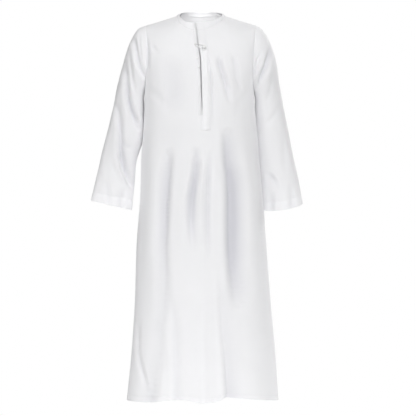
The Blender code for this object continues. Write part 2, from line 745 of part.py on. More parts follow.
def knot_button(tree, knot):
    """A ball of wound cord, a little flattened, with the ridges of its turns."""
    place, normal = seat(tree, knot.x * MM, knot.z * MM)
    bpy.ops.mesh.primitive_uv_sphere_add(segments=KNOT_SIDES, ring_count=KNOT_RINGS, radius=0.5)
    item = bpy.context.active_object
    item.name = knot.name
    item.data.name = knot.name
    for vertex in item.data.vertices:
        x, y, z = vertex.co
        turns = 1 + KNOT_RIDGE_HEIGHT * math.cos(KNOT_RIDGES * math.atan2(y, x) + KNOT_TWIST * z)
        vertex.co = Vector((x * turns * knot.across, y * turns * knot.across, z * knot.depth)) * MM
    lowest = min(vertex.co.z for vertex in item.data.vertices)
    item.data.transform(Matrix.Translation((0, 0, LAY_GAP - lowest)))
    turn = normal.to_track_quat("Z", "Y").to_matrix().to_4x4()
    item.data.transform(Matrix.Translation(place) @ turn)
    item.data.shade_smooth()
    item.data.materials.append(principled(knot.name, CORD))
    return item


def arc(centre, along, radius, first, last):
    """Points on an arc about the centre, its angles counted from the loop's own direction."""
    across = np.array([-along[1], along[0]])
    turns = np.linspace(first, last, LOOP_ARC_POINTS)
    return [centre + radius * (along * math.cos(t) + across * math.sin(t)) for t in turns]


def loop_line():
    """The loop's points from the front: a wide end round the top knot and a narrow one."""
    start = np.array(LOOP_START)
    end = np.array([KNOTS[0].x, KNOTS[0].z])
    length = np.linalg.norm(end - start)
    along = (end - start) / length
    turn = math.pi / 2 + math.asin((LOOP_HALF_WIDTH - LOOP_START_HALF_WIDTH) / length)
    wide = arc(end, along, LOOP_HALF_WIDTH, -turn, turn)
    narrow = arc(start, along, LOOP_START_HALF_WIDTH, turn, 2 * math.pi - turn)
    shares = np.linspace(0, 1, LOOP_SIDE_POINTS + 2)[1:-1]
    out = [wide[-1] + (narrow[0] - wide[-1]) * share for share in shares]
    home = [narrow[-1] + (wide[0] - narrow[-1]) * share for share in shares]
    return wide + out + narrow + home


def button_loop(tree):
    """A closed cord that lies on the strips and bridges the slit between them."""
    line = loop_line()
    depths = [seat(tree, x * MM, z * MM)[0] for x, z in line]
    depths = [place.y if place else 0.0 for place in depths]
    count = len(line)
    lift = (LOOP_CORD / 2) * MM + 2 * LAY_GAP
    spline_points = []
    for i, (x, z) in enumerate(line):
        foremost = min(depths[(i + step) % count] for step in (-2, -1, 0, 1, 2))
        spline_points.append((x * MM, foremost - lift, z * MM, 1.0))
    shape = bpy.data.curves.new("button_loop", "CURVE")
    shape.dimensions = "3D"
    shape.bevel_depth = LOOP_CORD / 2 * MM
    shape.bevel_resolution = 2
    spline = shape.splines.new("POLY")
    spline.points.add(count - 1)
    for point, place in zip(spline.points, spline_points):
        point.co = place
    spline.use_cyclic_u = True
    item = bpy.data.objects.new("button_loop", shape)
    bpy.context.scene.collection.objects.link(item)
    shape.materials.append(principled("button_loop", CORD))
    return item


def clear_scene():
    for item in list(bpy.data.objects):
        bpy.data.objects.remove(item, do_unlink=True)


def main():
    clear_scene()
    robe = Robe()
    front = front_panel(robe)
    back_panel(robe)
    sleeve(robe, RIGHT)
    sleeve(robe, LEFT)
    band = neckband(robe)
    wide = placket_strip(robe, "placket_top", 1, BAND_CLOTH)
    narrow = placket_strip(robe, "placket_under", -1, BAND_CLOTH)
    tree = surface_tree([front, band, wide, narrow])
    for knot in KNOTS:
        knot_button(tree, knot)
    button_loop(tree)


main()
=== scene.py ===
"""The looks of a collarless ankle-length robe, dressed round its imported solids.

The frame is in metres, +Z up, and the wearer faces -Y. Each cut piece is a thin closed shell on its
solid's form, made from the same sizes at a finer grid. Small creases, seams, turned hems, stitches,
knots and the cord loop are added here.
"""

import json
import math
from collections import namedtuple

import bpy
import numpy as np
from mathutils import Matrix, Vector
from mathutils.bvhtree import BVHTree
from mathutils.kdtree import KDTree

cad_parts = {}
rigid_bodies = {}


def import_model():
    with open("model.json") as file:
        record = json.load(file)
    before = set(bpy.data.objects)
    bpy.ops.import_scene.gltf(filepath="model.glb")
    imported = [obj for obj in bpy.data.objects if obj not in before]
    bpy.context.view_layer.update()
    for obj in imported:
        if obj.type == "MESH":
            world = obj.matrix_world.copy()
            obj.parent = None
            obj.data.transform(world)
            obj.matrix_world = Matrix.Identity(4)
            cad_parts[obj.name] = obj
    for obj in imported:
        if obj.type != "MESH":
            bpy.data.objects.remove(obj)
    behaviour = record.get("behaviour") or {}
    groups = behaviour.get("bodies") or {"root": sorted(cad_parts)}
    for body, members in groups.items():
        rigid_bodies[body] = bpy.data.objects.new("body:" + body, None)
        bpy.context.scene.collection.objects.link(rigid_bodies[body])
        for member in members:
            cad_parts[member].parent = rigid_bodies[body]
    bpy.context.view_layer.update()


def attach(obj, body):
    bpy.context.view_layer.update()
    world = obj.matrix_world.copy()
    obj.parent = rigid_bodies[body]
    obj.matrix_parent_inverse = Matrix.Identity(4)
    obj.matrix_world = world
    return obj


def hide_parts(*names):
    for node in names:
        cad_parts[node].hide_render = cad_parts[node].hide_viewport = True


MM = 0.001
TURN = 2 * math.pi

# Camera: level, square on, far enough away for the photo's slight perspective
CAMERA_PLACE = (0.0255, -8.0, -0.7025)
VIEW_WIDTH = 1.514
SENSOR_WIDTH = 36.0

# Floor and light
FLOOR_Z = -1.76
FLOOR_SIZE = 5.0
FLOOR_GLOW = 0.30
WHITE = (1.0, 1.0, 1.0, 1.0)
SKY_STRENGTH = 0.12
Lamp = namedtuple("Lamp", "name place target size power spread")
LAMPS = [
    Lamp("front", (0.2, -4.9, 1.6), (0.0, 0.0, -0.2), 1.5, 106.0, 180),
    Lamp("left", (-3.4, -3.4, 1.9), (0.0, 0.0, -0.3), 1.2, 42.0, 180),
    Lamp("top", (1.6, -3.2, 3.2), (0.1, 0.0, 0.0), 1.2, 90.0, 180),
    Lamp("side_right", (5.2, -0.9, 0.9), (0.0, 0.0, -0.3), 1.4, 18.0, 180),
    Lamp("side_left", (-5.0, -1.6, 0.9), (0.0, 0.0, -0.3), 1.2, 38.0, 180),
    Lamp("back", (3.0, 3.6, 1.9), (0.0, 0.0, -0.2), 1.2, 125.0, 180),
    Lamp("neck", (0.0, -0.045, -0.048), (0.0, 0.075, 0.005), 0.07, 0.027, 92),
]

# Cloth
CLOTH_WALL = 0.75 * MM
HEM_WALL = 1.5 * MM
BAND_WALL = 1.1 * MM
SEAM_GAP = 0.30 * MM
LAY_GAP = 0.25 * MM
STRIP_WALL = 1.0 * MM
EDGE_ROUNDING = 0.45
LEAST_MITRE = 0.75

# Body heights
HEM_Z = -1.400
HEM_BAND = 0.018
STRIP_END_Z = -0.420
SLIT_END_Z = -0.375
CHEST_Z = -0.330
ARMPIT_Z = -0.288
SHOULDER_TIP = (0.200, 0.005, -0.038)

# Grid steps
HEM_ROWS = (0.0, 1.2, 3.0, 7.0, 12.0, 15.5, 17.0, 18.0, 19.0, 20.5, 24.0)
HEM_ROWS_END = 30 * MM
SKIRT_STEPS = 124
SLIT_END_STEPS = 8
RIGHT_OF_SLIT_STEPS = 37
LEFT_OF_STRIP_STEPS = 32
SLEEVE_STEPS = 118
SLEEVE_SEAM_STATIONS = (0.0, 0.02, 0.05, 0.09)
SLEEVE_FIRST_STATION = 0.15
CUFF_ROWS = (36.5, 35, 34, 33, 31.5, 25, 17, 9, 4, 1.2, 0)
CUFF_ROWS_LEAD = 0.04
UPPER_STEPS = 52
SHOULDER_STEPS = 52
BACK_NECK_STEPS = 78
BAND_STEPS = 8
CLOSE_TO_SEAM = (0.25, 0.6)
ARMPIT_EASE_ROWS = 30
ARMPIT_EASE_COLUMNS = 4.0
ARMPIT_EASE_PASSES = 160
ROUND_SLACK = 1.0001
ZERO_SLACK = 1e-9

# Angles round the body, from the middle of a face, in degrees
SIDE_ANGLE = 90.0
NECK_ANGLE = 40.0
STRIP_ANGLE = 9.2
UNDER_STRIP_ANGLE = 3.5
STRIP_COLUMNS = 12
UNDER_COLUMNS = 5

# The body's outline from the front and the side: height, then how far it reaches each way
Section = namedtuple("Section", "z right left front back")
SECTIONS = [
    Section(-1.400, 0.270, 0.281, 0.200, 0.188),
    Section(-1.220, 0.252, 0.269, 0.187, 0.172),
    Section(-1.037, 0.240, 0.254, 0.174, 0.158),
    Section(-0.820, 0.233, 0.237, 0.161, 0.146),
    Section(-0.673, 0.222, 0.226, 0.153, 0.138),
    Section(-0.513, 0.218, 0.211, 0.146, 0.128),
    Section(-0.382, 0.2075, 0.200, 0.142, 0.126),
    Section(-0.288, 0.206, 0.192, 0.138, 0.130),
]

# How deep the middle of the front and back is, from the armpits, 0, up to the neck seam, 1
Rise = namedtuple("Rise", "share front back")
RISES = [
    Rise(0.00, 0.138, 0.130),
    Rise(0.25, 0.137, 0.133),
    Rise(0.55, 0.126, 0.128),
    Rise(0.80, 0.106, 0.108),
    Rise(1.00, 0.083, 0.075),
]

# The neck seam and the neck edge: an oval that dips at the front and climbs at the back
NeckRing = namedtuple("NeckRing", "half_width mid_y half_depth z_mean z_tilt z_dip")
NECK_SEAM = NeckRing(0.088, -0.003, 0.078, -0.017, -0.031, -0.014)
NECK_EDGE = NeckRing(0.078, -0.003, 0.068, -0.0045, -0.025, -0.0045)

# The slit's line at the front, its mouth's width, both in mm by height
Slit = namedtuple("Slit", "z x mouth")
SLIT_LINE = [
    Slit(-1400, 0.0, 0.0),
    Slit(-800, 0.0, 0.0),
    Slit(-420, 5.5, 0.0),
    Slit(-375, 9.5, 1.2),
    Slit(-330, 10.5, 4.0),
    Slit(-295, 9.5, 4.8),
    Slit(-233, 6.5, 5.0),
    Slit(-150, -1.5, 5.4),
    Slit(-120, -8.0, 6.0),
    Slit(-60, -15.0, 6.5),
    Slit(-30, -19.0, 7.5),
]
STRIP_OVERHANG = 0.15
STRIP_BEADS = {1: 0.15, -1: 0.75}
BEAD_LENGTH = 9.2 * MM
BEAD_WANDER = 21 * MM
BEAD_SEED = 31
BEAD_COLUMNS = 5
STRIP_STITCH_DIP = 0.30
STRIP_STITCH_REACH = 0.8

# The ruffled ridges of the wide strip: shares of its width, height in mm, length in metres
Ruffle = namedtuple("Ruffle", "start end width height wander length seed")
RUFFLES = [
    Ruffle(0.20, 0.24, 0.12, 1.6, 0.06, 0.016, 51),
    Ruffle(0.66, 0.50, 0.11, 1.5, 0.10, 0.019, 57),
]
RUFFLE_TOP_Z = -0.132
RUFFLE_LENGTH = 0.290
RUFFLE_RISE = 0.014
SWELL_SHARE = 1.7

# Sleeve stations from the armhole, 0, to the cuff's edge, 9, all in mm
Station = namedtuple("Station", "outer_x outer_z inner_x inner_z half_depth mid_y drop")
RIGHT_SLEEVE = [
    Station(200, -38, 206, -288, 72, 5, 0),
    Station(232, -55, 207.5, -294, 74, 6, 0),
    Station(262, -108, 208.5, -303, 73, 11, 0),
    Station(284, -178, 207.5, -319, 68, 18, 0),
    Station(306, -262, 206, -354, 62, 24, 0),
    Station(322, -338, 206.5, -400, 57, 28, 0),
    Station(341, -420, 212, -458, 53, 30, 0),
    Station(363, -512, 234, -530, 47, 29, 0),
    Station(384, -602, 243, -624, 42, 25, 0),
    Station(401, -675, 251, -710, 37, 20, 0),
]
LEFT_SLEEVE = [
    Station(200, -38, 192, -288, 72, 5, 0),
    Station(226, -57, 195, -294, 74, 6, 0),
    Station(254, -105, 197, -304, 73, 10, 1),
    Station(275, -175, 196.5, -321, 68, 18, 2),
    Station(288, -262, 195.5, -357, 62, 27, 4),
    Station(304, -350, 199, -410, 57, 32, 6),
    Station(321, -435, 203, -478, 53, 36, 8),
    Station(339, -520, 208, -548, 47, 38, 10),
    Station(358, -605, 217, -632, 42, 38, 12),
    Station(373, -684, 223.5, -706, 37, 38, 14),
]
CUFF_STATION = 9.0
STATION_LENGTH = 0.078
CUFF_BAND = 0.034
ARMHOLE_DIP = {-1: 7 * MM, 1: 5 * MM}
ARMHOLE_DIP_STATIONS = 3

# Side-seam pocket mouths
POCKET_TOP_Z = -0.650
POCKET_LOW_Z = -0.830
POCKET_MOUTH = 3.0 * MM
SIDE_FACING = 0.3

# The hem's lift along the front, in mm
Lift = namedtuple("Lift", "x lift")
HEM_LIFTS = [
    Lift(-270, 1),
    Lift(-170, 5),
    Lift(-116, 13),
    Lift(-60, 15),
    Lift(0, 5),
    Lift(30, 6),
    Lift(70, 14),
    Lift(90, 24),
    Lift(120, 22),
    Lift(200, 12),
    Lift(281, 2),
]
HEM_LIFT_REACH = 0.20
HEM_LIFT_FRONT = 0.05

# Folds: lines seen from the front or the back, in mm. Depth is inward, and a negative one is a ridge.
BODY, RIGHT, LEFT = "body", "robe_sleeve_right", "robe_sleeve_left"
FRONT_PANEL, BACK_PANEL, NECKBAND = "robe_front", "robe_back", "robe_neckband"
FRONT, BACK = -1, 1
Fold = namedtuple("Fold", "name zone face skew path")
Crease = namedtuple("Crease", "x z depth width")


def fold(name, zone, face, skew, *rows):
    return Fold(name, zone, face, skew, [Crease(*row) for row in rows])


# The large folds, which the solids have too
FOLDS = [
    fold("hip_right", BODY, FRONT, -0.15,
         (-111, -480, 0, 16), (-121, -560, 10, 18), (-127, -620, 13, 19), (-132, -700, 14, 19),
         (-135, -770, 13, 19), (-138, -830, 10, 20), (-134, -900, 7, 20), (-130, -980, 5, 22),
         (-136, -1080, 4, 22), (-150, -1130, 4, 22), (-150, -1210, 3, 22), (-168, -1300, 4, 24),
         (-184, -1410, 8, 26)),
    fold("belly", BODY, FRONT, 0.15,
         (-14, -480, 0, 13), (-18, -542, 9, 14), (-22, -586, 13, 15), (-29, -630, 16, 15),
         (-35, -673, 16, 15), (-36, -720, 14, 15), (-36, -761, 11, 14), (-31, -815, 5, 14),
         (-24, -870, 0, 14)),
    fold("belly_ridge", BODY, FRONT, 0.0,
         (10, -500, 0, 11), (6, -560, -3, 11), (-4, -650, -3, 11), (-10, -735, 0, 11)),
    fold("hip_left", BODY, FRONT, 0.30,
         (88, -410, 0, 20), (94, -470, 10, 23), (100, -542, 15, 25), (108, -586, 19, 27),
         (113, -650, 22, 28), (114, -750, 23, 29), (114, -840, 22, 29), (117, -910, 17, 29),
         (123, -980, 11, 30), (128, -1070, 0, 30)),
    fold("skirt_edge", BODY, FRONT, 0.6,
         (64, -880, 0, 24), (70, -985, 2, 26), (78, -1128, 4, 28), (90, -1263, 6, 30),
         (96, -1410, 10, 32)),
    fold("chest_left", BODY, FRONT, 0.0,
         (63, -148, 0, 10), (67, -171, 5, 10), (71, -193, 8, 10), (78, -215, 8, 10),
         (85, -237, 8, 10), (92, -258, 7.5, 10), (96, -280, 6, 10), (100, -302, 3, 10),
         (103, -332, 0, 10)),
    fold("chest_right", BODY, FRONT, 0.0,
         (-105, -150, 0, 34), (-98, -220, 4, 36), (-95, -300, 4, 38), (-85, -380, 0, 36)),
    fold("back_right", BODY, BACK, 0.0,
         (-90, -230, 0, 18), (-96, -400, 7, 20), (-100, -600, 11, 22), (-105, -800, 13, 24),
         (-112, -1000, 10, 26), (-118, -1200, 9, 28), (-125, -1410, 13, 30)),
    fold("back_middle", BODY, BACK, 0.0,
         (-12, -560, 0, 18), (-8, -700, 7, 20), (0, -850, 9, 22), (4, -1000, 6, 24),
         (2, -1150, 0, 24)),
    fold("back_left", BODY, BACK, 0.0,
         (84, -250, 0, 18), (90, -420, 8, 20), (98, -640, 12, 22), (104, -820, 12, 24),
         (100, -1000, 10, 26), (92, -1200, 10, 28), (88, -1410, 14, 30)),
    fold("back_hem", BODY, BACK, 0.0,
         (-20, -1080, 0, 24), (-28, -1220, 6, 26), (-34, -1410, 11, 28)),
    fold("right_cap", RIGHT, FRONT, 0.0,
         (-243, -80, 0, 8), (-240, -106, 5, 8), (-237, -127, 7, 8), (-233, -149, 7, 8),
         (-228, -171, 7, 8), (-220, -193, 7, 8), (-209, -215, 6, 8), (-203, -238, 0, 8)),
    fold("right_elbow", RIGHT, FRONT, 0.0,
         (-275, -160, 0, 9), (-272, -230, 7, 9), (-267, -290, 10, 9), (-258, -330, 12, 9),
         (-243, -368, 11, 9), (-228, -400, 7, 9), (-222, -425, 0, 9)),
    fold("right_crescent", RIGHT, FRONT, 0.2,
         (-308, -315, 0, 11), (-302, -365, 7, 11), (-296, -420, 10, 11), (-293, -484, 12, 11),
         (-288, -520, 13, 11), (-274, -571, 11, 10), (-254, -608, 5, 10), (-243, -630, 0, 10)),
    fold("right_back", RIGHT, BACK, 0.0,
         (-262, -180, 0, 12), (-268, -300, 6, 12), (-280, -420, 8, 12), (-275, -520, 7, 12),
         (-262, -600, 0, 12)),
    fold("left_cap", LEFT, FRONT, 0.0,
         (258, -85, 0, 9), (254, -127, 7, 9), (250, -149, 9, 9), (243, -171, 10, 9),
         (236, -193, 10, 9), (225, -215, 10, 9), (213, -240, 8, 9), (200, -280, 0, 9)),
    fold("left_wrist", LEFT, FRONT, 0.0,
         (240, -575, 0, 9), (256, -592, 5, 10), (272, -612, 4, 10), (280, -640, 0, 10)),
    fold("left_back", LEFT, BACK, 0.0,
         (258, -170, 0, 12), (262, -290, 6, 12), (262, -400, 8, 12), (262, -500, 7, 12),
         (285, -590, 0, 12)),
]

# The small creases: those of the photo, and some like them on the hidden sides
CREASES = [
    fold("chest_slim", BODY, FRONT, 0.0,
         (23, -146, 0, 6), (26, -171, 3, 6), (30, -193, 3.5, 6), (34, -215, 4, 6),
         (37, -245, 4, 6), (40, -285, 4, 6), (43, -330, 3, 6), (46, -390, 0, 7)),
    fold("chest_side", BODY, FRONT, 0.0,
         (118, -150, 0, 9), (122, -171, 2.5, 9), (126, -200, 2.5, 9), (130, -235, 2.5, 9),
         (138, -262, 2, 9), (142, -290, 0, 9)),
    fold("belly_slim", BODY, FRONT, 0.0,
         (31, -490, 0, 11), (30, -545, 4.5, 11), (26, -600, 6.5, 11), (24, -690, 7, 11),
         (24, -760, 6.5, 11), (27, -820, 4.5, 11), (34, -890, 0, 11)),
    fold("hip_branch", BODY, FRONT, 0.2,
         (-112, -990, 0, 14), (-98, -1090, 3, 15), (-92, -1220, 4, 16), (-90, -1410, 5, 18)),
    fold("skirt_ridge", BODY, FRONT, -0.3,
         (52, -900, 0, 8), (58, -965, -0.8, 7), (65, -1128, -1.2, 7), (80, -1263, -1.6, 7),
         (84, -1332, -2, 7), (88, -1410, -2, 8)),
    fold("front_light", BODY, FRONT, 0.0,
         (6, -980, 0, 18), (8, -1100, -4, 18), (10, -1260, -5, 19), (14, -1410, -5, 20)),
    fold("low_right", BODY, FRONT, 0.0,
         (-224, -1110, 0, 8), (-226, -1150, 3, 8), (-225, -1234, 4, 8), (-207, -1307, 4, 8),
         (-196, -1370, 0, 8)),
    fold("arm_v", BODY, FRONT, 0.0,
         (-196, -85, 0, 7), (-194, -120, 4, 7), (-193, -150, 4.5, 7), (-193, -185, 3.5, 7),
         (-197, -215, 0, 7)),
    fold("arm_v_side", BODY, FRONT, 0.0,
         (-183, -102, 0, 6), (-168, -130, 2.5, 7), (-150, -150, 0, 8)),
    fold("chest_drag_right", BODY, FRONT, 0.0,
         (-196, -262, 0, 10), (-172, -288, 1.2, 12), (-140, -318, 1.2, 14), (-112, -356, 0, 14)),
    fold("chest_drag_left", BODY, FRONT, 0.0,
         (186, -258, 0, 10), (166, -286, 1.0, 12), (140, -322, 1.0, 14), (120, -372, 0, 14)),
    fold("left_pucker", BODY, FRONT, 0.0,
         (232, -120, 0, 5), (216, -150, 4, 5), (196, -192, 4, 5), (192, -215, 0, 5)),
    fold("side_right", BODY, FRONT, 0.0,
         (-196, -420, 0, 10), (-200, -520, 1.5, 11), (-204, -680, 1.5, 12), (-212, -860, 1.5, 13),
         (-216, -1000, 0, 14)),
    fold("side_left", BODY, FRONT, 0.0,
         (200, -400, 0, 8), (207, -520, 2.5, 8), (216, -660, 3, 8), (222, -800, 3, 9),
         (228, -1000, 2, 10), (234, -1200, 0, 10)),
    fold("yoke_right", BODY, BACK, 0.0,
         (-188, -130, 0, 9), (-164, -178, 4, 10), (-132, -222, 4, 11), (-104, -262, 0, 12)),
    fold("yoke_left", BODY, BACK, 0.0,
         (182, -140, 0, 9), (158, -184, 4, 10), (124, -234, 4, 11), (96, -280, 0, 12)),
    fold("neck_drop", BODY, BACK, 0.0,
         (-30, -20, 0, 14), (-34, -60, 2.5, 15), (-40, -120, 2.5, 17), (-48, -190, 0, 18)),
    fold("neck_drop_left", BODY, BACK, 0.0,
         (42, -24, 0, 13), (46, -70, 2.5, 14), (48, -130, 2, 16), (50, -180, 0, 16)),
    fold("back_slim", BODY, BACK, 0.0,
         (36, -520, 0, 10), (40, -640, 3.5, 10), (44, -780, 3.5, 11), (52, -920, 0, 12)),
    fold("back_side_right", BODY, BACK, 0.0,
         (-176, -380, 0, 11), (-180, -560, 4, 12), (-192, -760, 5, 13), (-204, -980, 4, 14),
         (-212, -1160, 0, 14)),
    fold("back_side_left", BODY, BACK, 0.0,
         (172, -420, 0, 11), (178, -600, 4, 12), (190, -820, 5, 13), (206, -1040, 4, 14),
         (218, -1240, 0, 14)),
    fold("right_ridge", RIGHT, FRONT, 0.0,
         (-320, -480, 0, 10), (-305, -545, -3, 10), (-280, -600, -3, 9), (-262, -630, 0, 9)),
    fold("right_shoulder", RIGHT, FRONT, 0.0,
         (-222, -60, 0, 6), (-222, -110, 3, 6), (-216, -160, 3, 6), (-206, -205, 0, 6)),
    fold("right_upper_slim", RIGHT, FRONT, 0.0,
         (-258, -120, 0, 7), (-256, -190, 3, 7), (-246, -250, 3, 7), (-228, -300, 0, 7)),
    fold("right_nick", RIGHT, FRONT, 0.0,
         (-290, -455, 0, 5), (-272, -478, 4, 6), (-252, -492, 0, 6)),
    fold("right_cuff", RIGHT, FRONT, 0.0,
         (-345, -600, 0, 9), (-338, -640, 3, 10), (-334, -690, 3, 10)),
    fold("right_cuff_inner", RIGHT, FRONT, 0.0,
         (-288, -628, 0, 8), (-290, -660, 3, 9), (-292, -705, 3.5, 9)),
    fold("right_back_elbow", RIGHT, BACK, 0.0,
         (-225, -330, 0, 9), (-250, -352, 4, 9), (-284, -360, 3, 9), (-306, -352, 0, 9)),
    fold("right_back_low", RIGHT, BACK, 0.0,
         (-222, -408, 0, 9), (-252, -424, 3.5, 9), (-290, -420, 3, 9), (-318, -404, 0, 9)),
    fold("right_back_cuff", RIGHT, BACK, 0.0,
         (-318, -560, 0, 9), (-318, -620, 3, 10), (-322, -700, 3.5, 10)),
    fold("left_line", LEFT, FRONT, 0.0,
         (222, -130, 0, 5), (204, -168, 3.5, 5), (196, -205, 3, 5), (192, -240, 0, 5)),
    fold("left_upper_slim", LEFT, FRONT, 0.0,
         (268, -150, 0, 8), (262, -220, 1.5, 8), (246, -290, 1.5, 8), (222, -350, 0, 8)),
    fold("left_elbow", LEFT, FRONT, 0.0,
         (288, -300, 0, 9), (276, -345, 1.2, 9), (252, -382, 1.4, 9), (222, -405, 0, 9)),
    fold("left_fore", LEFT, FRONT, 0.0,
         (298, -400, 0, 10), (302, -470, 1.0, 10), (304, -540, 1.0, 10), (312, -600, 0, 10)),
    fold("left_cuff", LEFT, FRONT, 0.0,
         (262, -640, 0, 8), (258, -672, 3, 9), (256, -705, 3.5, 9)),
    fold("left_cuff_outer", LEFT, FRONT, 0.0,
         (324, -610, 0, 9), (328, -650, 3, 10), (332, -695, 3.5, 10)),
    fold("left_back_elbow", LEFT, BACK, 0.0,
         (214, -336, 0, 9), (240, -356, 4, 9), (272, -362, 3, 9), (292, -350, 0, 9)),
    fold("left_back_low", LEFT, BACK, 0.0,
         (212, -424, 0, 9), (240, -438, 3.5, 9), (276, -432, 3, 9), (304, -414, 0, 9)),
    fold("left_back_cuff", LEFT, BACK, 0.0,
         (288, -560, 0, 9), (290, -620, 3, 10), (294, -698, 3.5, 10)),
]
FOLD_SAMPLES = 60
FOLD_SHOULDER = 0.42
FOLD_GAIN = 1.5
CREASE_GAIN = 1.5
FACING_FULL = 0.35
FOLD_REACH = 5

# Painted shade: the cloth's colour is darkened deep in a fold, standing in for the fold's shadow: the
# depth at which that is full, and its tone
PAINTED_SHADE_FULL_DEPTH = 26 * MM
PAINTED_SHADE_TONE = (0.76, 0.76, 0.79, 1.0)

# Soft unevenness of the cloth: cells round the piece, cell length in metres, height in mm
Ripple = namedtuple("Ripple", "around length height seed")
BODY_RIPPLES = [Ripple(17, 0.42, 1.7, 3), Ripple(41, 0.17, 0.55, 5), Ripple(90, 0.060, 0.18, 7)]
SLEEVE_RIPPLES = [Ripple(7, 0.21, 1.5, 11), Ripple(15, 0.075, 0.7, 13), Ripple(34, 0.035, 0.22, 17)]
QUIET_REACH = 26 * MM
LEFT_SLEEVE_TURN = 0.37
NOISE_ROWS = 256

# Noise along a line: the cells before the line's start, and the cells after which it repeats
Line = namedtuple("Line", "start cells")
SEAM_LINE = Line(500, 997)
STRIP_LINE = Line(40, 499)
RUFFLE_LINE = Line(60, 499)

# Seams: the dip along the join and the puckers beside it
SEAM_DIP = 1.4 * MM
SEAM_REACH = 3.0 * MM
PUCKER_HEIGHT = 0.35 * MM
PUCKER_REACH = 8.0 * MM
PUCKER_LENGTH = 13.0 * MM
PUCKER_SLANT = (0.8, 0.55, 1.0)
PUCKER_SEED = 23

# Turned hems: the dip along the stitches, and the slanting ripples between them and the edge
STITCH_DIP = 0.45 * MM
STITCH_REACH = 1.8 * MM
ROPING_HEIGHT = 0.30 * MM
ROPING_LENGTH = 11.0 * MM
ROPING_SLANT = 0.7
ROPING_REACH = 0.62
ROPING_SEED = 29
HEM_RADIUS = 0.24
CUFF_RADIUS = 0.06

# Stitches
STITCH_LENGTH = 2.6 * MM
STITCH_PITCH = 3.5 * MM
THREAD = 0.26 * MM
THREAD_RINGS = 5
THREAD_SIDES = 6
THREAD_END = 0.92
THREAD_LIFT = 0.35
BAND_STITCH_ROWS = (1, 3, 7)
STRIP_STITCH_INSET = 2

# Knots: place from the front, across and through each, in mm
Knot = namedtuple("Knot", "name node x z across depth")
KNOTS = [
    Knot("knot_top", "knot_button_top", 11.0, -127, 12.5, 9.0),
    Knot("knot_middle", "knot_button_middle", -12.0, -167, 6.0, 5.0),
    Knot("knot_low", "knot_button_low", -7.2, -199, 6.0, 5.0),
]
KNOT_TURNS = 3
KNOT_LOBES = 4
KNOT_POINTS = 120
KNOT_CORD_SHARE = 0.135
KNOT_LATITUDE = math.radians(58)
KNOT_WEAVE = 0.10
KNOT_WEAVE_START = 0.4
CORE_SHARE = 0.36
CORE_LATITUDE = 1.35
CORE_SIDES = 16
CORE_RINGS = 9

# The cord loop, in mm
LOOP_CORD = 3.8
LOOP_START = (-20.5, -114.0)
LOOP_HALF_WIDTH = 8.2
LOOP_START_HALF_WIDTH = 2.2
LOOP_ARC_POINTS = 24
LOOP_SIDE_POINTS = 30
LOOP_STRANDS = 3
LOOP_TWIST = 5.0
LOOP_POINTS = 160
LOOP_CLEAR_POINTS = 5
LOOP_SMOOTH_POINTS = 2
STRAND_SIDES = 8
STRAND_OFFSET = 0.46


# Curves and rings

def curve(knots, values, at):
    """A smooth curve through the values at the knots, held level past both ends."""
    knots = np.asarray(knots, float)
    values = np.asarray(values, float)
    order = np.argsort(knots)
    knots, values = knots[order], values[order]
    slopes = np.gradient(values, knots)
    at = np.clip(np.asarray(at, float), knots[0], knots[-1])
    cell = np.clip(np.searchsorted(knots, at, side="right") - 1, 0, len(knots) - 2)
    span = knots[cell + 1] - knots[cell]
    t = (at - knots[cell]) / span
    rising = t * t * (3 - 2 * t)
    start = values[cell] * (1 - rising) + values[cell + 1] * rising
    bend = slopes[cell] * (t ** 3 - 2 * t ** 2 + t) + slopes[cell + 1] * (t ** 3 - t ** 2)
    return start + span * bend


def column(rows, name):
    return [getattr(row, name) for row in rows]


def read(rows, key, name, at):
    """One column of a table as a smooth curve of another."""
    return curve(column(rows, key), column(rows, name), at)


def neck_ring(psi, share):
    """Points on the neckband, from its seam, share 0, to the neck's edge, 1. psi 0 is the front."""
    rings = []
    for ring in (NECK_SEAM, NECK_EDGE):
        x = ring.half_width * np.sin(psi)
        y = ring.mid_y - ring.half_depth * np.cos(psi)
        z = ring.z_mean + ring.z_tilt * np.cos(psi) + ring.z_dip * np.cos(2 * psi)
        rings.append(np.stack([x, y, z], -1))
    return rings[0] * (1 - share) + rings[1] * share


def sleeve_ring(side, station, phi):
    """A ring of the sleeve. phi 0 is its outer side, a quarter turn is its front."""
    table = LEFT_SLEEVE if side > 0 else RIGHT_SLEEVE
    steps = np.arange(len(table))
    value = {name: curve(steps, column(table, name), station) * MM for name in Station._fields}
    mid_x = (value["outer_x"] + value["inner_x"]) / 2
    mid_z = (value["outer_z"] + value["inner_z"]) / 2
    dip = ARMHOLE_DIP[side] * max(0.0, 1 - station / ARMHOLE_DIP_STATIONS)
    x = mid_x + (value["outer_x"] - mid_x) * np.cos(phi) - dip * np.sin(phi) ** 2
    y = value["mid_y"] - value["half_depth"] * np.sin(phi)
    z = mid_z + (value["outer_z"] - mid_z) * np.cos(phi) - value["drop"] * np.sin(phi)
    return np.stack([side * x, y, z], -1)


# Grids of the outer surface

def spread(*stops):
    """Values along pairs of a stop and the steps that lead up to it."""
    values = [stops[0][0]]
    for stop, steps in stops[1:]:
        values += list(np.linspace(values[-1], stop, steps + 1)[1:])
    return np.array(values)


def front_angles():
    return np.radians(spread(
        (-SIDE_ANGLE, 0), (-NECK_ANGLE, SHOULDER_STEPS),
        (-UNDER_STRIP_ANGLE, RIGHT_OF_SLIT_STEPS), (0.0, UNDER_COLUMNS),
        (STRIP_ANGLE, STRIP_COLUMNS), (NECK_ANGLE, LEFT_OF_STRIP_STEPS),
        (SIDE_ANGLE, SHOULDER_STEPS),
    ))


def back_angles():
    return np.radians(spread(
        (-SIDE_ANGLE, 0), (-NECK_ANGLE, SHOULDER_STEPS), (NECK_ANGLE, BACK_NECK_STEPS),
        (SIDE_ANGLE, SHOULDER_STEPS),
    ))


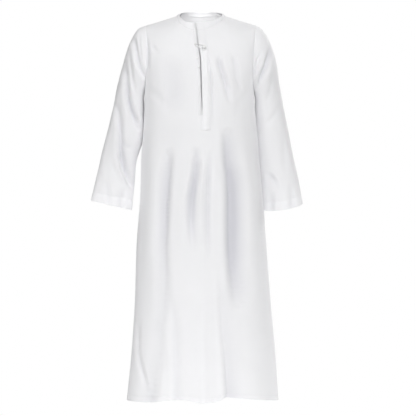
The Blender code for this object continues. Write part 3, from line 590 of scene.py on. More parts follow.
def lower_heights():
    """Heights from the hem up to the armpits, close together at the hem and its stitches."""
    skirt = spread(
        (HEM_Z + HEM_ROWS_END, 0), (STRIP_END_Z, SKIRT_STEPS), (SLIT_END_Z, SLIT_END_STEPS),
        (CHEST_Z, SLIT_END_STEPS), (ARMPIT_Z, SLIT_END_STEPS),
    )
    return np.concatenate([HEM_Z + np.array(HEM_ROWS) * MM, skirt])


def upper_shares():
    """Shares of the way from the armpits to the shoulder seams, closer together near the seams."""
    near = np.array(CLOSE_TO_SEAM) / UPPER_STEPS
    even = np.linspace(0, 1, UPPER_STEPS + 1)
    return np.sort(np.concatenate([even, near, 1 - near]))


def sleeve_stations():
    """Stations from the armhole to the cuff's edge, close together at the seam and the stitches."""
    band = CUFF_STATION - np.array(CUFF_ROWS) * MM / STATION_LENGTH
    arm = np.linspace(SLEEVE_FIRST_STATION, band[0] - CUFF_ROWS_LEAD, SLEEVE_STEPS)
    return np.concatenate([SLEEVE_SEAM_STATIONS, arm, band])


def slit_shift(z, theta):
    """How far the columns near the middle follow the slit's line."""
    near = np.clip(1 - (theta / math.radians(NECK_ANGLE)) ** 2, 0, 1) ** 2
    return read(SLIT_LINE, "z", "x", z / MM) * MM * near


def lower_rows(face, theta):
    """The body below the armpits: ovals, one for each height."""
    rows = []
    for z in lower_heights():
        right = read(SECTIONS, "z", "right", z)
        left = read(SECTIONS, "z", "left", z)
        depth = read(SECTIONS, "z", "front" if face == FRONT else "back", z)
        x = (left - right) / 2 + (left + right) / 2 * np.sin(theta)
        y = face * depth * np.cos(theta)
        height = np.full_like(theta, z)
        if face == FRONT:
            x = x + slit_shift(height, theta)
        rows.append(np.stack([x, y, height], -1))
    return rows


def top_row(face, theta):
    """The shoulder seams and, between them, the neck seam."""
    neck = math.radians(NECK_ANGLE)
    side = math.radians(SIDE_ANGLE)
    psi = np.clip(theta / neck, -1, 1) * math.pi / 2
    points = neck_ring(psi if face == FRONT else math.pi - psi, 0.0)
    tip = np.array(SHOULDER_TIP)
    start = neck_ring(np.array(math.pi / 2), 0.0)
    for i, angle in enumerate(theta):
        if abs(angle) > neck * ROUND_SLACK:
            share = (abs(angle) - neck) / (side - neck)
            points[i] = start + (tip - start) * share
            points[i][0] *= math.copysign(1, angle)
    return points


def upper_rows(face, theta):
    """The body between the armholes, from the armpits up to the shoulder and neck seams."""
    top = top_row(face, theta)
    middle = np.abs(theta).argmin()
    outward = np.abs(theta / math.radians(SIDE_ANGLE)) ** 3
    half = SHOULDER_TIP[0]
    rows = []
    for share in upper_shares()[1:]:
        phi = math.pi * (1 - share)
        edge = {side: sleeve_ring(side, 0.0, np.array(-face * phi)) for side in (-1, 1)}
        edge_x = {side: edge[side][0] for side in edge}
        edge_y = np.where(theta < 0, edge[-1][1], edge[1][1])
        edge_z = np.where(theta < 0, edge[-1][2], edge[1][2])
        blend = share ** 3
        across = (1 - blend) * np.sin(theta) + blend * top[:, 0] / half
        x = (edge_x[1] + edge_x[-1]) / 2 + (edge_x[1] - edge_x[-1]) / 2 * across
        depth = face * read(RISES, "share", "front" if face == FRONT else "back", share)
        tip_y = SHOULDER_TIP[1]
        top_bulge = (top[:, 1] - tip_y) / (top[middle, 1] - tip_y)
        bulge = (1 - blend) * np.cos(theta) + blend * top_bulge
        y = edge_y + (depth - edge_y) * bulge
        straight = ARMPIT_Z + share * (top[:, 2] - ARMPIT_Z)
        straight_edge = ARMPIT_Z + share * (SHOULDER_TIP[2] - ARMPIT_Z)
        z = straight + outward * (edge_z - straight_edge)
        if face == FRONT:
            x = x + slit_shift(z, theta)
        rows.append(np.stack([x, y, z], -1))
    return rows


def sleeve_angles():
    """Angles round the sleeve, from its outer side by the front, in step with the body's rows."""
    half = math.pi * (1 - upper_shares())[::-1]
    return np.concatenate([half, TURN - half[::-1][1:-1]])


def sleeve_grid(side):
    return np.array([sleeve_ring(side, station, sleeve_angles()) for station in sleeve_stations()])


def neckband_grid(front_theta, back_theta):
    """Rows from the neck seam to the neck edge, round from the slit's left side to its right."""
    neck = math.radians(NECK_ANGLE) * ROUND_SLACK
    to_psi = math.pi / 2 / math.radians(NECK_ANGLE)
    ahead = front_theta[(front_theta >= -ZERO_SLACK) & (front_theta < neck)]
    behind = back_theta[np.abs(back_theta) < neck][::-1][1:-1]
    last = front_theta[(front_theta <= ZERO_SLACK) & (front_theta > -neck)]
    psi = np.concatenate([ahead * to_psi, math.pi - behind * to_psi, last * to_psi])
    theta = np.concatenate([ahead, np.full(len(behind), math.pi), last])
    rows = []
    for share in np.linspace(0, 1, BAND_STEPS + 1):
        points = neck_ring(psi, share)
        points[:, 0] += slit_shift(points[:, 2], theta)
        rows.append(points)
    return np.array(rows)


def ease_armpits(grid, armpit):
    """Rounds the bend in a body panel across the row of the armpits; its side edges stay."""
    rows, columns = grid.shape[:2]
    row_at = np.arange(rows)[:, None]
    inset = np.minimum(np.arange(columns), np.arange(columns)[::-1])[None, :]
    near = np.clip(1 - np.abs(row_at - armpit) / ARMPIT_EASE_ROWS, 0, 1)
    share = (near * (2 - near) * (1 - np.exp(-(inset / ARMPIT_EASE_COLUMNS) ** 2)))[1:-1, :, None]
    for _ in range(ARMPIT_EASE_PASSES):
        between = (grid[:-2] + grid[2:]) / 2
        grid[1:-1] += 0.5 * share * (between - grid[1:-1])


def outer_grids():
    """The five grids, with the points that two of them share made equal."""
    front_theta, back_theta = front_angles(), back_angles()
    front = np.array(lower_rows(FRONT, front_theta) + upper_rows(FRONT, front_theta))
    back = np.array(lower_rows(BACK, back_theta) + upper_rows(BACK, back_theta))
    armpit = len(lower_heights()) - 1
    ease_armpits(front, armpit)
    ease_armpits(back, armpit)
    shoulder = SHOULDER_STEPS + 1
    half = len(upper_shares()) - 1
    grids = {FRONT_PANEL: front, BACK_PANEL: back}
    for side, edge, name in ((-1, 0, RIGHT), (1, -1, LEFT)):
        sleeve = sleeve_grid(side)
        back[: armpit + 1, edge] = front[: armpit + 1, edge]
        sleeve[0, : half + 1] = front[armpit:, edge][::-1]
        sleeve[0, half + 1:] = back[armpit + 1: -1, edge]
        grids[name] = sleeve
    back[-1, :shoulder] = front[-1, :shoulder]
    back[-1, -shoulder:] = front[-1, -shoulder:]
    band = neckband_grid(front_theta, back_theta)
    slit = int(np.abs(front_theta).argmin())
    ahead = front[-1, slit: len(front_theta) - SHOULDER_STEPS]
    behind = back[-1, shoulder: -shoulder][::-1]
    last = front[-1, SHOULDER_STEPS: slit + 1]
    band[0] = np.concatenate([ahead, behind, last])
    grids[NECKBAND] = band
    return grids, slit


# Folds, creases and the cloth's unevenness

def grid_cells(ids, closed=False):
    """The quads of a grid of point numbers; a closed grid joins its last column to its first."""
    following = np.roll(ids, -1, axis=1) if closed else ids[:, 1:]
    first = ids if closed else ids[:, :-1]
    corners = (first[:-1], following[:-1], following[1:], first[1:])
    return np.stack(corners, -1).reshape(-1, 4)


def face_vectors(points, quads):
    """Each quad's normal, as long as twice its area."""
    across = points[quads[:, 2]] - points[quads[:, 0]]
    along = points[quads[:, 3]] - points[quads[:, 1]]
    return np.cross(across, along)


def point_normals(points, quads):
    total = np.zeros_like(points)
    vectors = face_vectors(points, quads)
    for corner in range(4):
        np.add.at(total, quads[:, corner], vectors)
    return total / np.maximum(np.linalg.norm(total, axis=1, keepdims=True), 1e-12)


def fold_press(points, normals, crease):
    """How far each point goes in at one fold."""
    steps = np.arange(len(crease.path))
    at = np.linspace(0, len(steps) - 1, FOLD_SAMPLES)
    line = np.stack([curve(steps, column(crease.path, name), at) for name in ("x", "z")], -1) * MM
    depth = curve(steps, column(crease.path, "depth"), at) * MM
    width = curve(steps, column(crease.path, "width"), at) * MM
    reach = FOLD_REACH * width.max()
    flat = points[:, [0, 2]]
    close = ((flat > line.min(axis=0) - reach) & (flat < line.max(axis=0) + reach)).all(axis=1)
    press = np.zeros(len(points))
    away = flat[close][:, None, :] - line[None, :, :]
    distance = np.linalg.norm(away, axis=2)
    nearest = distance.argmin(axis=1)
    rows = np.arange(len(nearest))
    direction = np.gradient(line, axis=0)[nearest]
    offset = away[rows, nearest]
    to_left = direction[:, 0] * offset[:, 1] - direction[:, 1] * offset[:, 0] > 0
    wide = width[nearest] * np.where(to_left, 1 + crease.skew, 1 - crease.skew)
    u = distance[rows, nearest] / wide
    profile = (1 - FOLD_SHOULDER * u ** 2) * np.exp(-u ** 2 / 2)
    facing = np.clip(crease.face * normals[close][:, 1] / FACING_FULL, 0, 1)
    press[close] = depth[nearest] * profile * facing
    return press


def hem_lift(points):
    low = np.clip(1 - (points[:, 2] - HEM_Z) / HEM_LIFT_REACH, 0, 1) ** 2
    ahead = np.clip(-points[:, 1] / HEM_LIFT_FRONT, 0, 1)
    return read(HEM_LIFTS, "x", "lift", points[:, 0] / MM) * MM * low * ahead


def smooth_noise(u, v, cells, seed):
    """Smooth values from -1 to 1 that repeat in u after the given cells."""
    lattice = np.random.default_rng(seed).uniform(-1, 1, (cells, NOISE_ROWS))
    column_at, row_at = np.floor(u).astype(int), np.floor(v).astype(int)
    fu, fv = u - column_at, v - row_at
    fu, fv = fu * fu * (3 - 2 * fu), fv * fv * (3 - 2 * fv)
    left, right = column_at % cells, (column_at + 1) % cells
    low, high = row_at % NOISE_ROWS, (row_at + 1) % NOISE_ROWS
    bottom = lattice[left, low] * (1 - fu) + lattice[right, low] * fu
    top = lattice[left, high] * (1 - fu) + lattice[right, high] * fu
    return bottom * (1 - fv) + top * fv


def line_noise(at, line, seed):
    """Smooth values from -1 to 1 along a line; at is counted in cells."""
    return smooth_noise(at + line.start, at * 0 + 0.5, line.cells, seed)


def ripples(table, turn, along):
    """The sum of a table's ripples. turn is the share of the way round, along is in metres."""
    height = np.zeros(len(turn))
    for row in table:
        noise = smooth_noise(turn * row.around, along / row.length, row.around, row.seed)
        height += row.height * MM * noise
    return height


def nearest_on(points, line):
    """The distance from each point to the nearest point of a line, and that point's number."""
    tree = KDTree(len(line))
    for number, place in enumerate(line):
        tree.insert(Vector(place), number)
    tree.balance()
    found = [tree.find(Vector(point)) for point in points]
    return np.array([f[2] for f in found]), np.array([f[1] for f in found])


class Robe:
    """The outer surface as one set of points, and which of them each cut piece uses."""

    def __init__(self):
        grids, self.slit = outer_grids()
        flat = np.concatenate([grid.reshape(-1, 3) for grid in grids.values()])
        self.points, numbers = np.unique(flat.round(9), axis=0, return_inverse=True)
        numbers = numbers.reshape(-1)
        self.ids, self.quads, start = {}, {}, 0
        for name, grid in grids.items():
            count = grid.shape[0] * grid.shape[1]
            ids = numbers[start: start + count].reshape(grid.shape[:2])
            cells = grid_cells(ids, closed=name in (RIGHT, LEFT))
            if name in (BACK_PANEL, RIGHT):
                cells = cells[:, ::-1]
            self.ids[name], self.quads[name] = ids, cells
            start += count
        self.body = np.unique(np.concatenate([self.ids[FRONT_PANEL].ravel(),
                                              self.ids[BACK_PANEL].ravel()]))
        normals, _ = self.seam_normals()
        creases = self.creases(normals)
        # painted shade: how much each point's colour is darkened, by how deep its fold goes
        self.painted_fold_shade = np.clip(creases / PAINTED_SHADE_FULL_DEPTH, 0, 1)
        press = creases + self.unevenness() + self.seams() + self.hems()
        lift = hem_lift(self.points)
        self.points = self.points - normals * press[:, None]
        self.points[:, 2] += lift
        self.normals, self.mitres = self.seam_normals()

    def seam_normals(self):
        """The points' normals, and how much longer than the cloth's thickness the step inward is.

        At a seam a normal halves the angle between the pieces, so the step there is slanting."""
        each = [point_normals(self.points, quads) for quads in self.quads.values()]
        pieces = sum(np.linalg.norm(own, axis=1) for own in each)
        total = sum(each)
        length = np.linalg.norm(total, axis=1)
        return total / length[:, None], 1 / np.clip(length / pieces, LEAST_MITRE, 1.0)

    def creases(self, normals):
        zones = {BODY: self.body, RIGHT: np.unique(self.ids[RIGHT]), LEFT: np.unique(self.ids[LEFT])}
        press = np.zeros(len(self.points))
        for group, gain in ((FOLDS, FOLD_GAIN), (CREASES, CREASE_GAIN)):
            for crease in group:
                chosen = zones[crease.zone]
                press[chosen] += gain * fold_press(self.points[chosen], normals[chosen], crease)
        return press

    def unevenness(self):
        """Soft ripples, which fade out at the armhole, shoulder and neck seams."""
        height = np.zeros(len(self.points))
        places = self.points[self.body]
        turn = np.arctan2(places[:, 0], -places[:, 1]) / TURN % 1
        height[self.body] = ripples(BODY_RIPPLES, turn, places[:, 2] - HEM_Z)
        stations = sleeve_stations()
        turns = sleeve_angles() / TURN
        for name in (RIGHT, LEFT):
            ids = self.ids[name][1:]
            along = np.repeat(stations[1:, None], len(turns), axis=1) * STATION_LENGTH
            offset = LEFT_SLEEVE_TURN if name == LEFT else 0.0
            round_at = np.repeat(turns[None, :] + offset, len(stations) - 1, axis=0)
            height[ids.ravel()] = ripples(SLEEVE_RIPPLES, round_at.ravel(), along.ravel())
        distance, _ = nearest_on(self.points, self.points[self.set_in_seams()])
        return height * (1 - np.exp(-(distance / QUIET_REACH) ** 2))

    def set_in_seams(self):
        """The points on the armhole, shoulder and neck seams."""
        panels = np.union1d(self.ids[FRONT_PANEL], self.ids[BACK_PANEL])
        armholes = np.union1d(self.ids[RIGHT][0], self.ids[LEFT][0])
        shoulders = np.intersect1d(self.ids[FRONT_PANEL][-1], self.ids[BACK_PANEL][-1])
        neck = np.intersect1d(panels, self.ids[NECKBAND])
        return np.unique(np.concatenate([armholes, shoulders, neck]))

    def seams(self):
        """The dip and the puckers along every seam, the side seams among them."""
        sides = np.union1d(self.ids[FRONT_PANEL][:, 0], self.ids[FRONT_PANEL][:, -1])
        line = self.points[np.union1d(self.set_in_seams(), sides)]
        distance, number = nearest_on(self.points, line)
        along = line[number] @ np.array(PUCKER_SLANT)
        uneven = line_noise(along / (3 * PUCKER_LENGTH), SEAM_LINE, PUCKER_SEED)
        wave = np.cos(TURN * (along / PUCKER_LENGTH + 0.6 * uneven))
        pucker = PUCKER_HEIGHT * (0.6 + 0.7 * uneven) * wave * np.exp(-(distance / PUCKER_REACH) ** 2)
        return SEAM_DIP * np.exp(-(distance / SEAM_REACH) ** 2) + pucker

    def hems(self):
        """The stitched line and the slanting ripples of the turned hems."""
        press = np.zeros(len(self.points))
        places = self.points[self.body]
        up = places[:, 2] - HEM_Z
        around = np.arctan2(places[:, 0], -places[:, 1]) * HEM_RADIUS
        press[self.body] = turned_hem(up, around, HEM_BAND)
        stations = sleeve_stations()
        angles = sleeve_angles()
        for name in (RIGHT, LEFT):
            ids = self.ids[name][1:]
            up = np.repeat((CUFF_STATION - stations[1:, None]) * STATION_LENGTH, len(angles), axis=1)
            around = np.repeat(angles[None, :] * CUFF_RADIUS, len(stations) - 1, axis=0)
            press[ids.ravel()] += turned_hem(up.ravel(), around.ravel(), CUFF_BAND)
        return press


def turned_hem(up, around, band):
    """How far a hem goes in, by the height over its edge and the way round, in metres."""
    stitched = STITCH_DIP * np.exp(-((up - band) / STITCH_REACH) ** 2)
    slant = around + ROPING_SLANT * up
    uneven = line_noise(slant / (4 * ROPING_LENGTH), SEAM_LINE, ROPING_SEED)
    roping = np.sin(TURN * (slant / ROPING_LENGTH + 0.8 * uneven)) * (0.55 + 0.6 * uneven)
    inside = np.clip(1 - np.abs(up - band / 2) / (band * ROPING_REACH), 0, 1)
    return stitched + ROPING_HEIGHT * roping * inside


# Meshes

def unit(vectors):
    return vectors / np.linalg.norm(vectors, axis=-1, keepdims=True)


def path_lengths(line):
    """How far each point of a line lies from its first."""
    return np.concatenate([[0.0], np.linalg.norm(np.diff(line, axis=0), axis=1).cumsum()])


def read_along(at, lengths, values):
    return np.stack([np.interp(at, lengths, values[:, k]) for k in range(3)], -1)


def new_mesh(name, points, faces, material, corner_uvs=None):
    mesh = bpy.data.meshes.new(name)
    mesh.from_pydata([tuple(p) for p in points], [], [tuple(int(i) for i in f) for f in faces])
    mesh.shade_smooth()
    mesh.materials.append(material)
    if corner_uvs is not None:
        layer = mesh.uv_layers.new(name="cloth")
        layer.data.foreach_set("uv", np.asarray(corner_uvs, np.float32).ravel())
    item = bpy.data.objects.new(name, mesh)
    bpy.context.scene.collection.objects.link(item)
    return item


def open_edges(quads):
    """The edges that only one quad uses, each in that quad's direction."""
    edges = np.stack([quads, np.roll(quads, -1, axis=1)], -1).reshape(-1, 2)
    keys = np.sort(edges, axis=1)
    _, first, counts = np.unique(keys, axis=0, return_index=True, return_counts=True)
    return edges[first[counts == 1]]


def edge_directions(points, normals, quads):
    """For each point on an open edge, the direction in the surface towards the piece's own cloth."""
    centres = points[quads].mean(axis=1)
    total, count = np.zeros_like(points), np.zeros(len(points))
    for corner in range(4):
        np.add.at(total, quads[:, corner], centres)
        np.add.at(count, quads[:, corner], 1)
    rim = np.unique(open_edges(quads))
    inward = total[rim] / count[rim][:, None] - points[rim]
    inward -= normals[rim] * (inward * normals[rim]).sum(axis=1, keepdims=True)
    return rim, unit(inward)


def shell(name, outer, inner, normals, quads, uvs, uv_quads, material):
    """A closed shell between two layers of the same quads, with a rounded edge."""
    count = len(outer)
    rim, inward = edge_directions(outer, normals, quads)
    thick = np.linalg.norm(outer[rim] - inner[rim], axis=1, keepdims=True)
    middle = (outer[rim] + inner[rim]) / 2 - inward * thick * EDGE_ROUNDING
    place = np.full(count, -1)
    place[rim] = 2 * count + np.arange(len(rim))
    edges = open_edges(quads)
    a, b = edges[:, 0], edges[:, 1]
    upper = np.stack([b, a, place[a], place[b]], -1)
    lower = np.stack([place[b], place[a], a + count, b + count], -1)
    faces = np.concatenate([quads, quads[:, ::-1] + count, upper, lower])
    corner = np.zeros((count, 2))
    corner[quads.ravel()] = uvs[uv_quads.ravel()]
    edge_uvs = np.stack([corner[b], corner[a], corner[a], corner[b]], 1)
    corner_uvs = np.concatenate([uvs[uv_quads], uvs[uv_quads[:, ::-1]], edge_uvs, edge_uvs])
    points = np.concatenate([outer, inner, middle])
    return new_mesh(name, points, faces, material, corner_uvs.reshape(-1, 2))


def grid_uvs(points, closed=False):
    """How far each grid point lies across and along the cloth, in metres, from the grid's middle."""
    if closed:
        points = np.concatenate([points, points[:, :1]], axis=1)
    across = np.linalg.norm(np.diff(points, axis=1), axis=2)
    across = np.concatenate([np.zeros((len(points), 1)), across.cumsum(axis=1)], axis=1)
    across -= across[:, across.shape[1] // 2][:, None]
    along = np.linalg.norm(np.diff(points, axis=0), axis=2).mean(axis=1)
    along = np.concatenate([[0.0], along.cumsum()])
    return np.stack([across, np.repeat(along[:, None], across.shape[1], axis=1)], -1)


def cut_piece(robe, name, material, ids, quads, uvs, uv_quads, shift=None, pull=None, thick=None):
    """A cut piece: its outer points pulled back from the seams, and its inner ones a wall inside."""
    normals = robe.normals[ids]
    depth = np.full(len(ids), CLOTH_WALL) if thick is None else thick
    amounts = np.full(len(ids), SEAM_GAP / 2) if pull is None else pull
    outer = robe.points[ids] if shift is None else robe.points[ids] + shift
    rim, inward = edge_directions(outer, normals, quads)
    outer[rim] += inward * amounts[rim][:, None]
    inner = outer - normals * (depth * robe.mitres[ids])[:, None]
    item = shell(name, outer, inner, normals, quads, uvs, uv_quads, material)
    # the painted shade of the folds, kept on every point for the material
    painted_fold_shade = robe.painted_fold_shade[ids]
    painted_shade_layer = item.data.attributes.new("painted_shade", "FLOAT", "POINT")
    painted_shade_layer.data.foreach_set("value", np.concatenate([painted_fold_shade, painted_fold_shade, painted_fold_shade[rim]]))
    return item


def panel_amounts(robe, ids):
    """The pull at each point of a body panel, wider at the pocket mouths."""
    places = robe.points[ids]
    middle = (POCKET_TOP_Z + POCKET_LOW_Z) / 2
    reach = (POCKET_TOP_Z - POCKET_LOW_Z) / 2
    along = np.clip(1 - ((places[:, 2] - middle) / reach) ** 2, 0, 1)
    at_side = np.abs(robe.normals[ids][:, 1]) < SIDE_FACING
    return SEAM_GAP / 2 + POCKET_MOUTH / 2 * along * at_side


def panel_walls(ids):
    """The thickness of a body panel, whose turned hem is thicker."""
    over_edge = lower_heights() - HEM_Z
    walls = np.full(ids.shape, CLOTH_WALL)
    walls[: int((over_edge < HEM_BAND + 0.5 * MM).sum())] = HEM_WALL
    return walls.ravel()


def slit_rows(robe):
    """The row where the slit ends, and half its mouth's width at each row above."""
    front = robe.ids[FRONT_PANEL]
    heights = robe.points[front[:, robe.slit]][:, 2]
    end = int(np.abs(lower_heights() - SLIT_END_Z).argmin())
    mouths = read(SLIT_LINE, "z", "mouth", heights / MM) * MM / 2
    return end, mouths


def front_panel(robe, material):
    grid = robe.ids[FRONT_PANEL]
    rows, columns = grid.shape
    end, mouths = slit_rows(robe)
    local = np.arange(rows * columns).reshape(rows, columns)
    extra = rows * columns + np.arange(rows - end - 1)
    ids = np.concatenate([grid.ravel(), grid[end + 1:, robe.slit]])
    right_of = local.copy()
    right_of[end + 1:, robe.slit] = extra
    quads = np.concatenate([
        grid_cells(local[:, : robe.slit + 1]), grid_cells(right_of[:, robe.slit:]),
    ])
    uvs = grid_uvs(robe.points[grid])
    uvs = np.concatenate([uvs.reshape(-1, 2), uvs[end + 1:, robe.slit]])
    shift = np.zeros((len(ids), 3))
    shift[local[end + 1:, robe.slit], 0] = -mouths[end + 1:]
    shift[extra, 0] = mouths[end + 1:]
    walls = np.concatenate([panel_walls(grid), np.full(len(extra), CLOTH_WALL)])
    return cut_piece(robe, FRONT_PANEL, material, ids, quads, uvs, quads, shift,
                     panel_amounts(robe, ids), walls)


def back_panel(robe, material):
    grid = robe.ids[BACK_PANEL]
    quads = grid_cells(np.arange(grid.size).reshape(grid.shape))[:, ::-1]
    uvs = grid_uvs(robe.points[grid]).reshape(-1, 2)
    ids = grid.ravel()
    return cut_piece(robe, BACK_PANEL, material, ids, quads, uvs, quads,
                     pull=panel_amounts(robe, ids), thick=panel_walls(grid))


def sleeve(robe, name, material):
    grid = robe.ids[name]
    quads = grid_cells(np.arange(grid.size).reshape(grid.shape), closed=True)
    uvs = grid_uvs(robe.points[grid], closed=True)
    uv_quads = grid_cells(np.arange(uvs.shape[0] * uvs.shape[1]).reshape(uvs.shape[:2]))
    if name == RIGHT:
        quads, uv_quads = quads[:, ::-1], uv_quads[:, ::-1]
    walls = np.full(grid.shape, CLOTH_WALL)
    in_band = (CUFF_STATION - sleeve_stations()) * STATION_LENGTH < CUFF_BAND + 0.5 * MM
    walls[in_band] = HEM_WALL
    return cut_piece(robe, name, material, grid.ravel(), quads, uvs.reshape(-1, 2), uv_quads,
                     thick=walls.ravel())


def neckband(robe, material):
    grid = robe.ids[NECKBAND]
    quads = grid_cells(np.arange(grid.size).reshape(grid.shape))
    mouth = slit_rows(robe)[1][-1]
    shift = np.zeros((*grid.shape, 3))
    shift[:, 0, 0] = mouth
    shift[:, -1, 0] = -mouth
    uvs = grid_uvs(robe.points[grid]).reshape(-1, 2)
    walls = np.full(grid.size, BAND_WALL)
    return cut_piece(robe, NECKBAND, material, grid.ravel(), quads, uvs, quads,
                     shift.reshape(-1, 3), thick=walls)


def strip_grid(robe, side):
    """The points and normals under a placket strip: the wide one with side 1, the narrow with -1."""
    front, band = robe.ids[FRONT_PANEL], robe.ids[NECKBAND]
    end, mouths = slit_rows(robe)
    if side > 0:
        bottom = int(np.abs(lower_heights() - STRIP_END_Z).argmin())
        columns = slice(robe.slit, robe.slit + STRIP_COLUMNS + 1)
        band_columns = slice(0, STRIP_COLUMNS + 1)
        edge = 0
    else:
        bottom = end + 1
        columns = slice(robe.slit - UNDER_COLUMNS, robe.slit + 1)
        band_columns = slice(-UNDER_COLUMNS - 1, None)
        edge = -1
    grid = np.concatenate([front[bottom:, columns], band[1:, band_columns]])
    half = np.concatenate([mouths[bottom:], np.full(BAND_STEPS, mouths[-1])])
    points, normals = robe.points[grid].copy(), robe.normals[grid]
    overhang = STRIP_OVERHANG if side > 0 else 0.0
    points[:, edge, 0] += side * half * (1 - 2 * overhang)
    return points, normals


def ruffle(points, along):
    """Two soft ridges down the wide strip under the loop, which wander and draw closer together."""
    share = np.linspace(0, 1, points.shape[1])[None, :]
    drop = np.clip((RUFFLE_TOP_Z - points[:, :1, 2]) / RUFFLE_LENGTH, 0, 1)
    total = np.zeros(points.shape[:2])
    for row in RUFFLES:
        wander = line_noise(along / row.length, RUFFLE_LINE, row.seed)
        swell = line_noise(along / row.length * SWELL_SHARE, RUFFLE_LINE, row.seed + 1)
        middle = row.start + (row.end - row.start) * drop + row.wander * wander
        ridge = np.exp(-((share - middle) / row.width) ** 2)
        total += row.height * MM * (0.8 + 0.4 * swell) * ridge
    return total * np.clip(drop * RUFFLE_LENGTH / RUFFLE_RISE, 0, 1)


def placket_strip(robe, name, side, material):
    """A strip of doubled cloth on one side of the slit, pressed flat, with stitched edges."""
    points, normals = strip_grid(robe, side)
    rows, columns = points.shape[:2]
    along = path_lengths(points[:, columns // 2])[:, None]
    inset = np.minimum(np.arange(columns), np.arange(columns)[::-1])[None, :]
    at_stitches = np.exp(-((inset - STRIP_STITCH_INSET) / STRIP_STITCH_REACH) ** 2)
    uneven = line_noise(along / BEAD_WANDER, STRIP_LINE, BEAD_SEED + side)
    wave = np.sin(TURN * (along / BEAD_LENGTH + 0.5 * uneven))
    beads = STRIP_BEADS[side] * wave * (inset > 0) * (inset < BEAD_COLUMNS)
    raised = (beads - STRIP_STITCH_DIP * at_stitches) * MM
    if side > 0:
        raised = raised + ruffle(points, along)
    under = points + normals * LAY_GAP
    over = under + normals * (STRIP_WALL + raised[:, :, None])
    local = np.arange(rows * columns).reshape(rows, columns)
    quads = grid_cells(local)
    uvs = grid_uvs(points).reshape(-1, 2)
    item = shell(name, over.reshape(-1, 3), under.reshape(-1, 3), normals.reshape(-1, 3), quads, uvs,
                 quads, material)
    return item, over, normals


# Stitches

def stitch_shape():
    """One stitch along X: a short rounded thread, its faces and points."""
    points = []
    for ring in range(THREAD_RINGS):
        t = -1 + 2 * ring / (THREAD_RINGS - 1)
        round_off = math.sqrt(max(0.0, 1 - (THREAD_END * abs(t)) ** 4))
        for turn in range(THREAD_SIDES):
            angle = TURN * turn / THREAD_SIDES
            points.append((t * STITCH_LENGTH / 2, THREAD * round_off * math.cos(angle),
                           THREAD * round_off * math.sin(angle)))
    ids = np.arange(THREAD_RINGS * THREAD_SIDES).reshape(THREAD_RINGS, THREAD_SIDES)
    faces = [tuple(q) for q in grid_cells(ids, closed=True)[:, ::-1]]
    faces += [tuple(ids[0]), tuple(ids[-1][::-1])]
    return np.array(points), faces


def stitch_places(line, normals):
    """Places, directions and normals along a line, one for each stitch."""
    lengths = path_lengths(line)
    at = np.arange(STITCH_PITCH / 2, lengths[-1], STITCH_PITCH)
    places = read_along(at, lengths, line)
    ahead = read_along(at + 0.5 * MM, lengths, line)
    return places, ahead - places, read_along(at, lengths, normals)


def stitches(name, rows, material, slot):
    """All the stitches of some seam lines as one piece. Each row is a line and its normals."""
    shape, shape_faces = stitch_shape()
    points, faces = [], []
    for line, normals in rows:
        for place, along, up in zip(*stitch_places(line, normals)):
            x = unit(along)
            z = unit(up - x * (up @ x))
            start = len(points) * len(shape)
            turned = shape @ np.array([x, np.cross(z, x), z])
            points.append(place + turned + z * THREAD * THREAD_LIFT)
            faces += [tuple(start + i for i in face) for face in shape_faces]
    item = new_mesh(name, np.concatenate(points), faces, material)
    dress(item, slot)
    return item


def dress(item, slot, *nodes):
    """The piece rides on the robe's one body and stands for its solids; the slot is not used."""
    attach(item, "root")
    if nodes:
        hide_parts(*nodes)


# Knots and loop

def surface_tree(items):
    """One search tree over the outer sides of several pieces."""
    points, faces = [], []
    for item in items:
        start = len(points)
        points += [v.co.copy() for v in item.data.vertices]
        faces += [[start + i for i in p.vertices] for p in item.data.polygons]
    return BVHTree.FromPolygons(points, faces)


def seat(tree, x, z):
    """Where a line from the front meets the cloth, and the cloth's normal there."""
    place, normal, _, _ = tree.ray_cast(Vector((x, -1.0, z)), Vector((0, 1, 0)))
    return place, normal


def directions(line):
    """The direction of a closed line at each of its points."""
    return unit(np.roll(line, -1, axis=0) - np.roll(line, 1, axis=0))


def tube(line, radius):
    """Points and quads of a cord along a closed line, with a steady frame."""
    up = np.array([0.0, 0.0, 1.0])
    points = []
    for place, along in zip(line, directions(line)):
        side = unit(np.cross(along, up))
        up = np.cross(side, along)
        for turn in range(STRAND_SIDES):
            angle = TURN * turn / STRAND_SIDES
            points.append(place + radius * (side * math.cos(angle) + up * math.sin(angle)))
    points = np.array(points)
    ids = np.arange(len(points)).reshape(len(line), STRAND_SIDES)
    turned = [np.roll(ids[0], -k) for k in range(STRAND_SIDES)]
    gaps = [np.linalg.norm(points[ring] - points[ids[-1]], axis=1).sum() for ring in turned]
    joined = np.stack([ids[-1], turned[int(np.argmin(gaps))]])
    cells = [grid_cells(ids, closed=True), grid_cells(joined, closed=True)]
    return points, np.concatenate(cells)


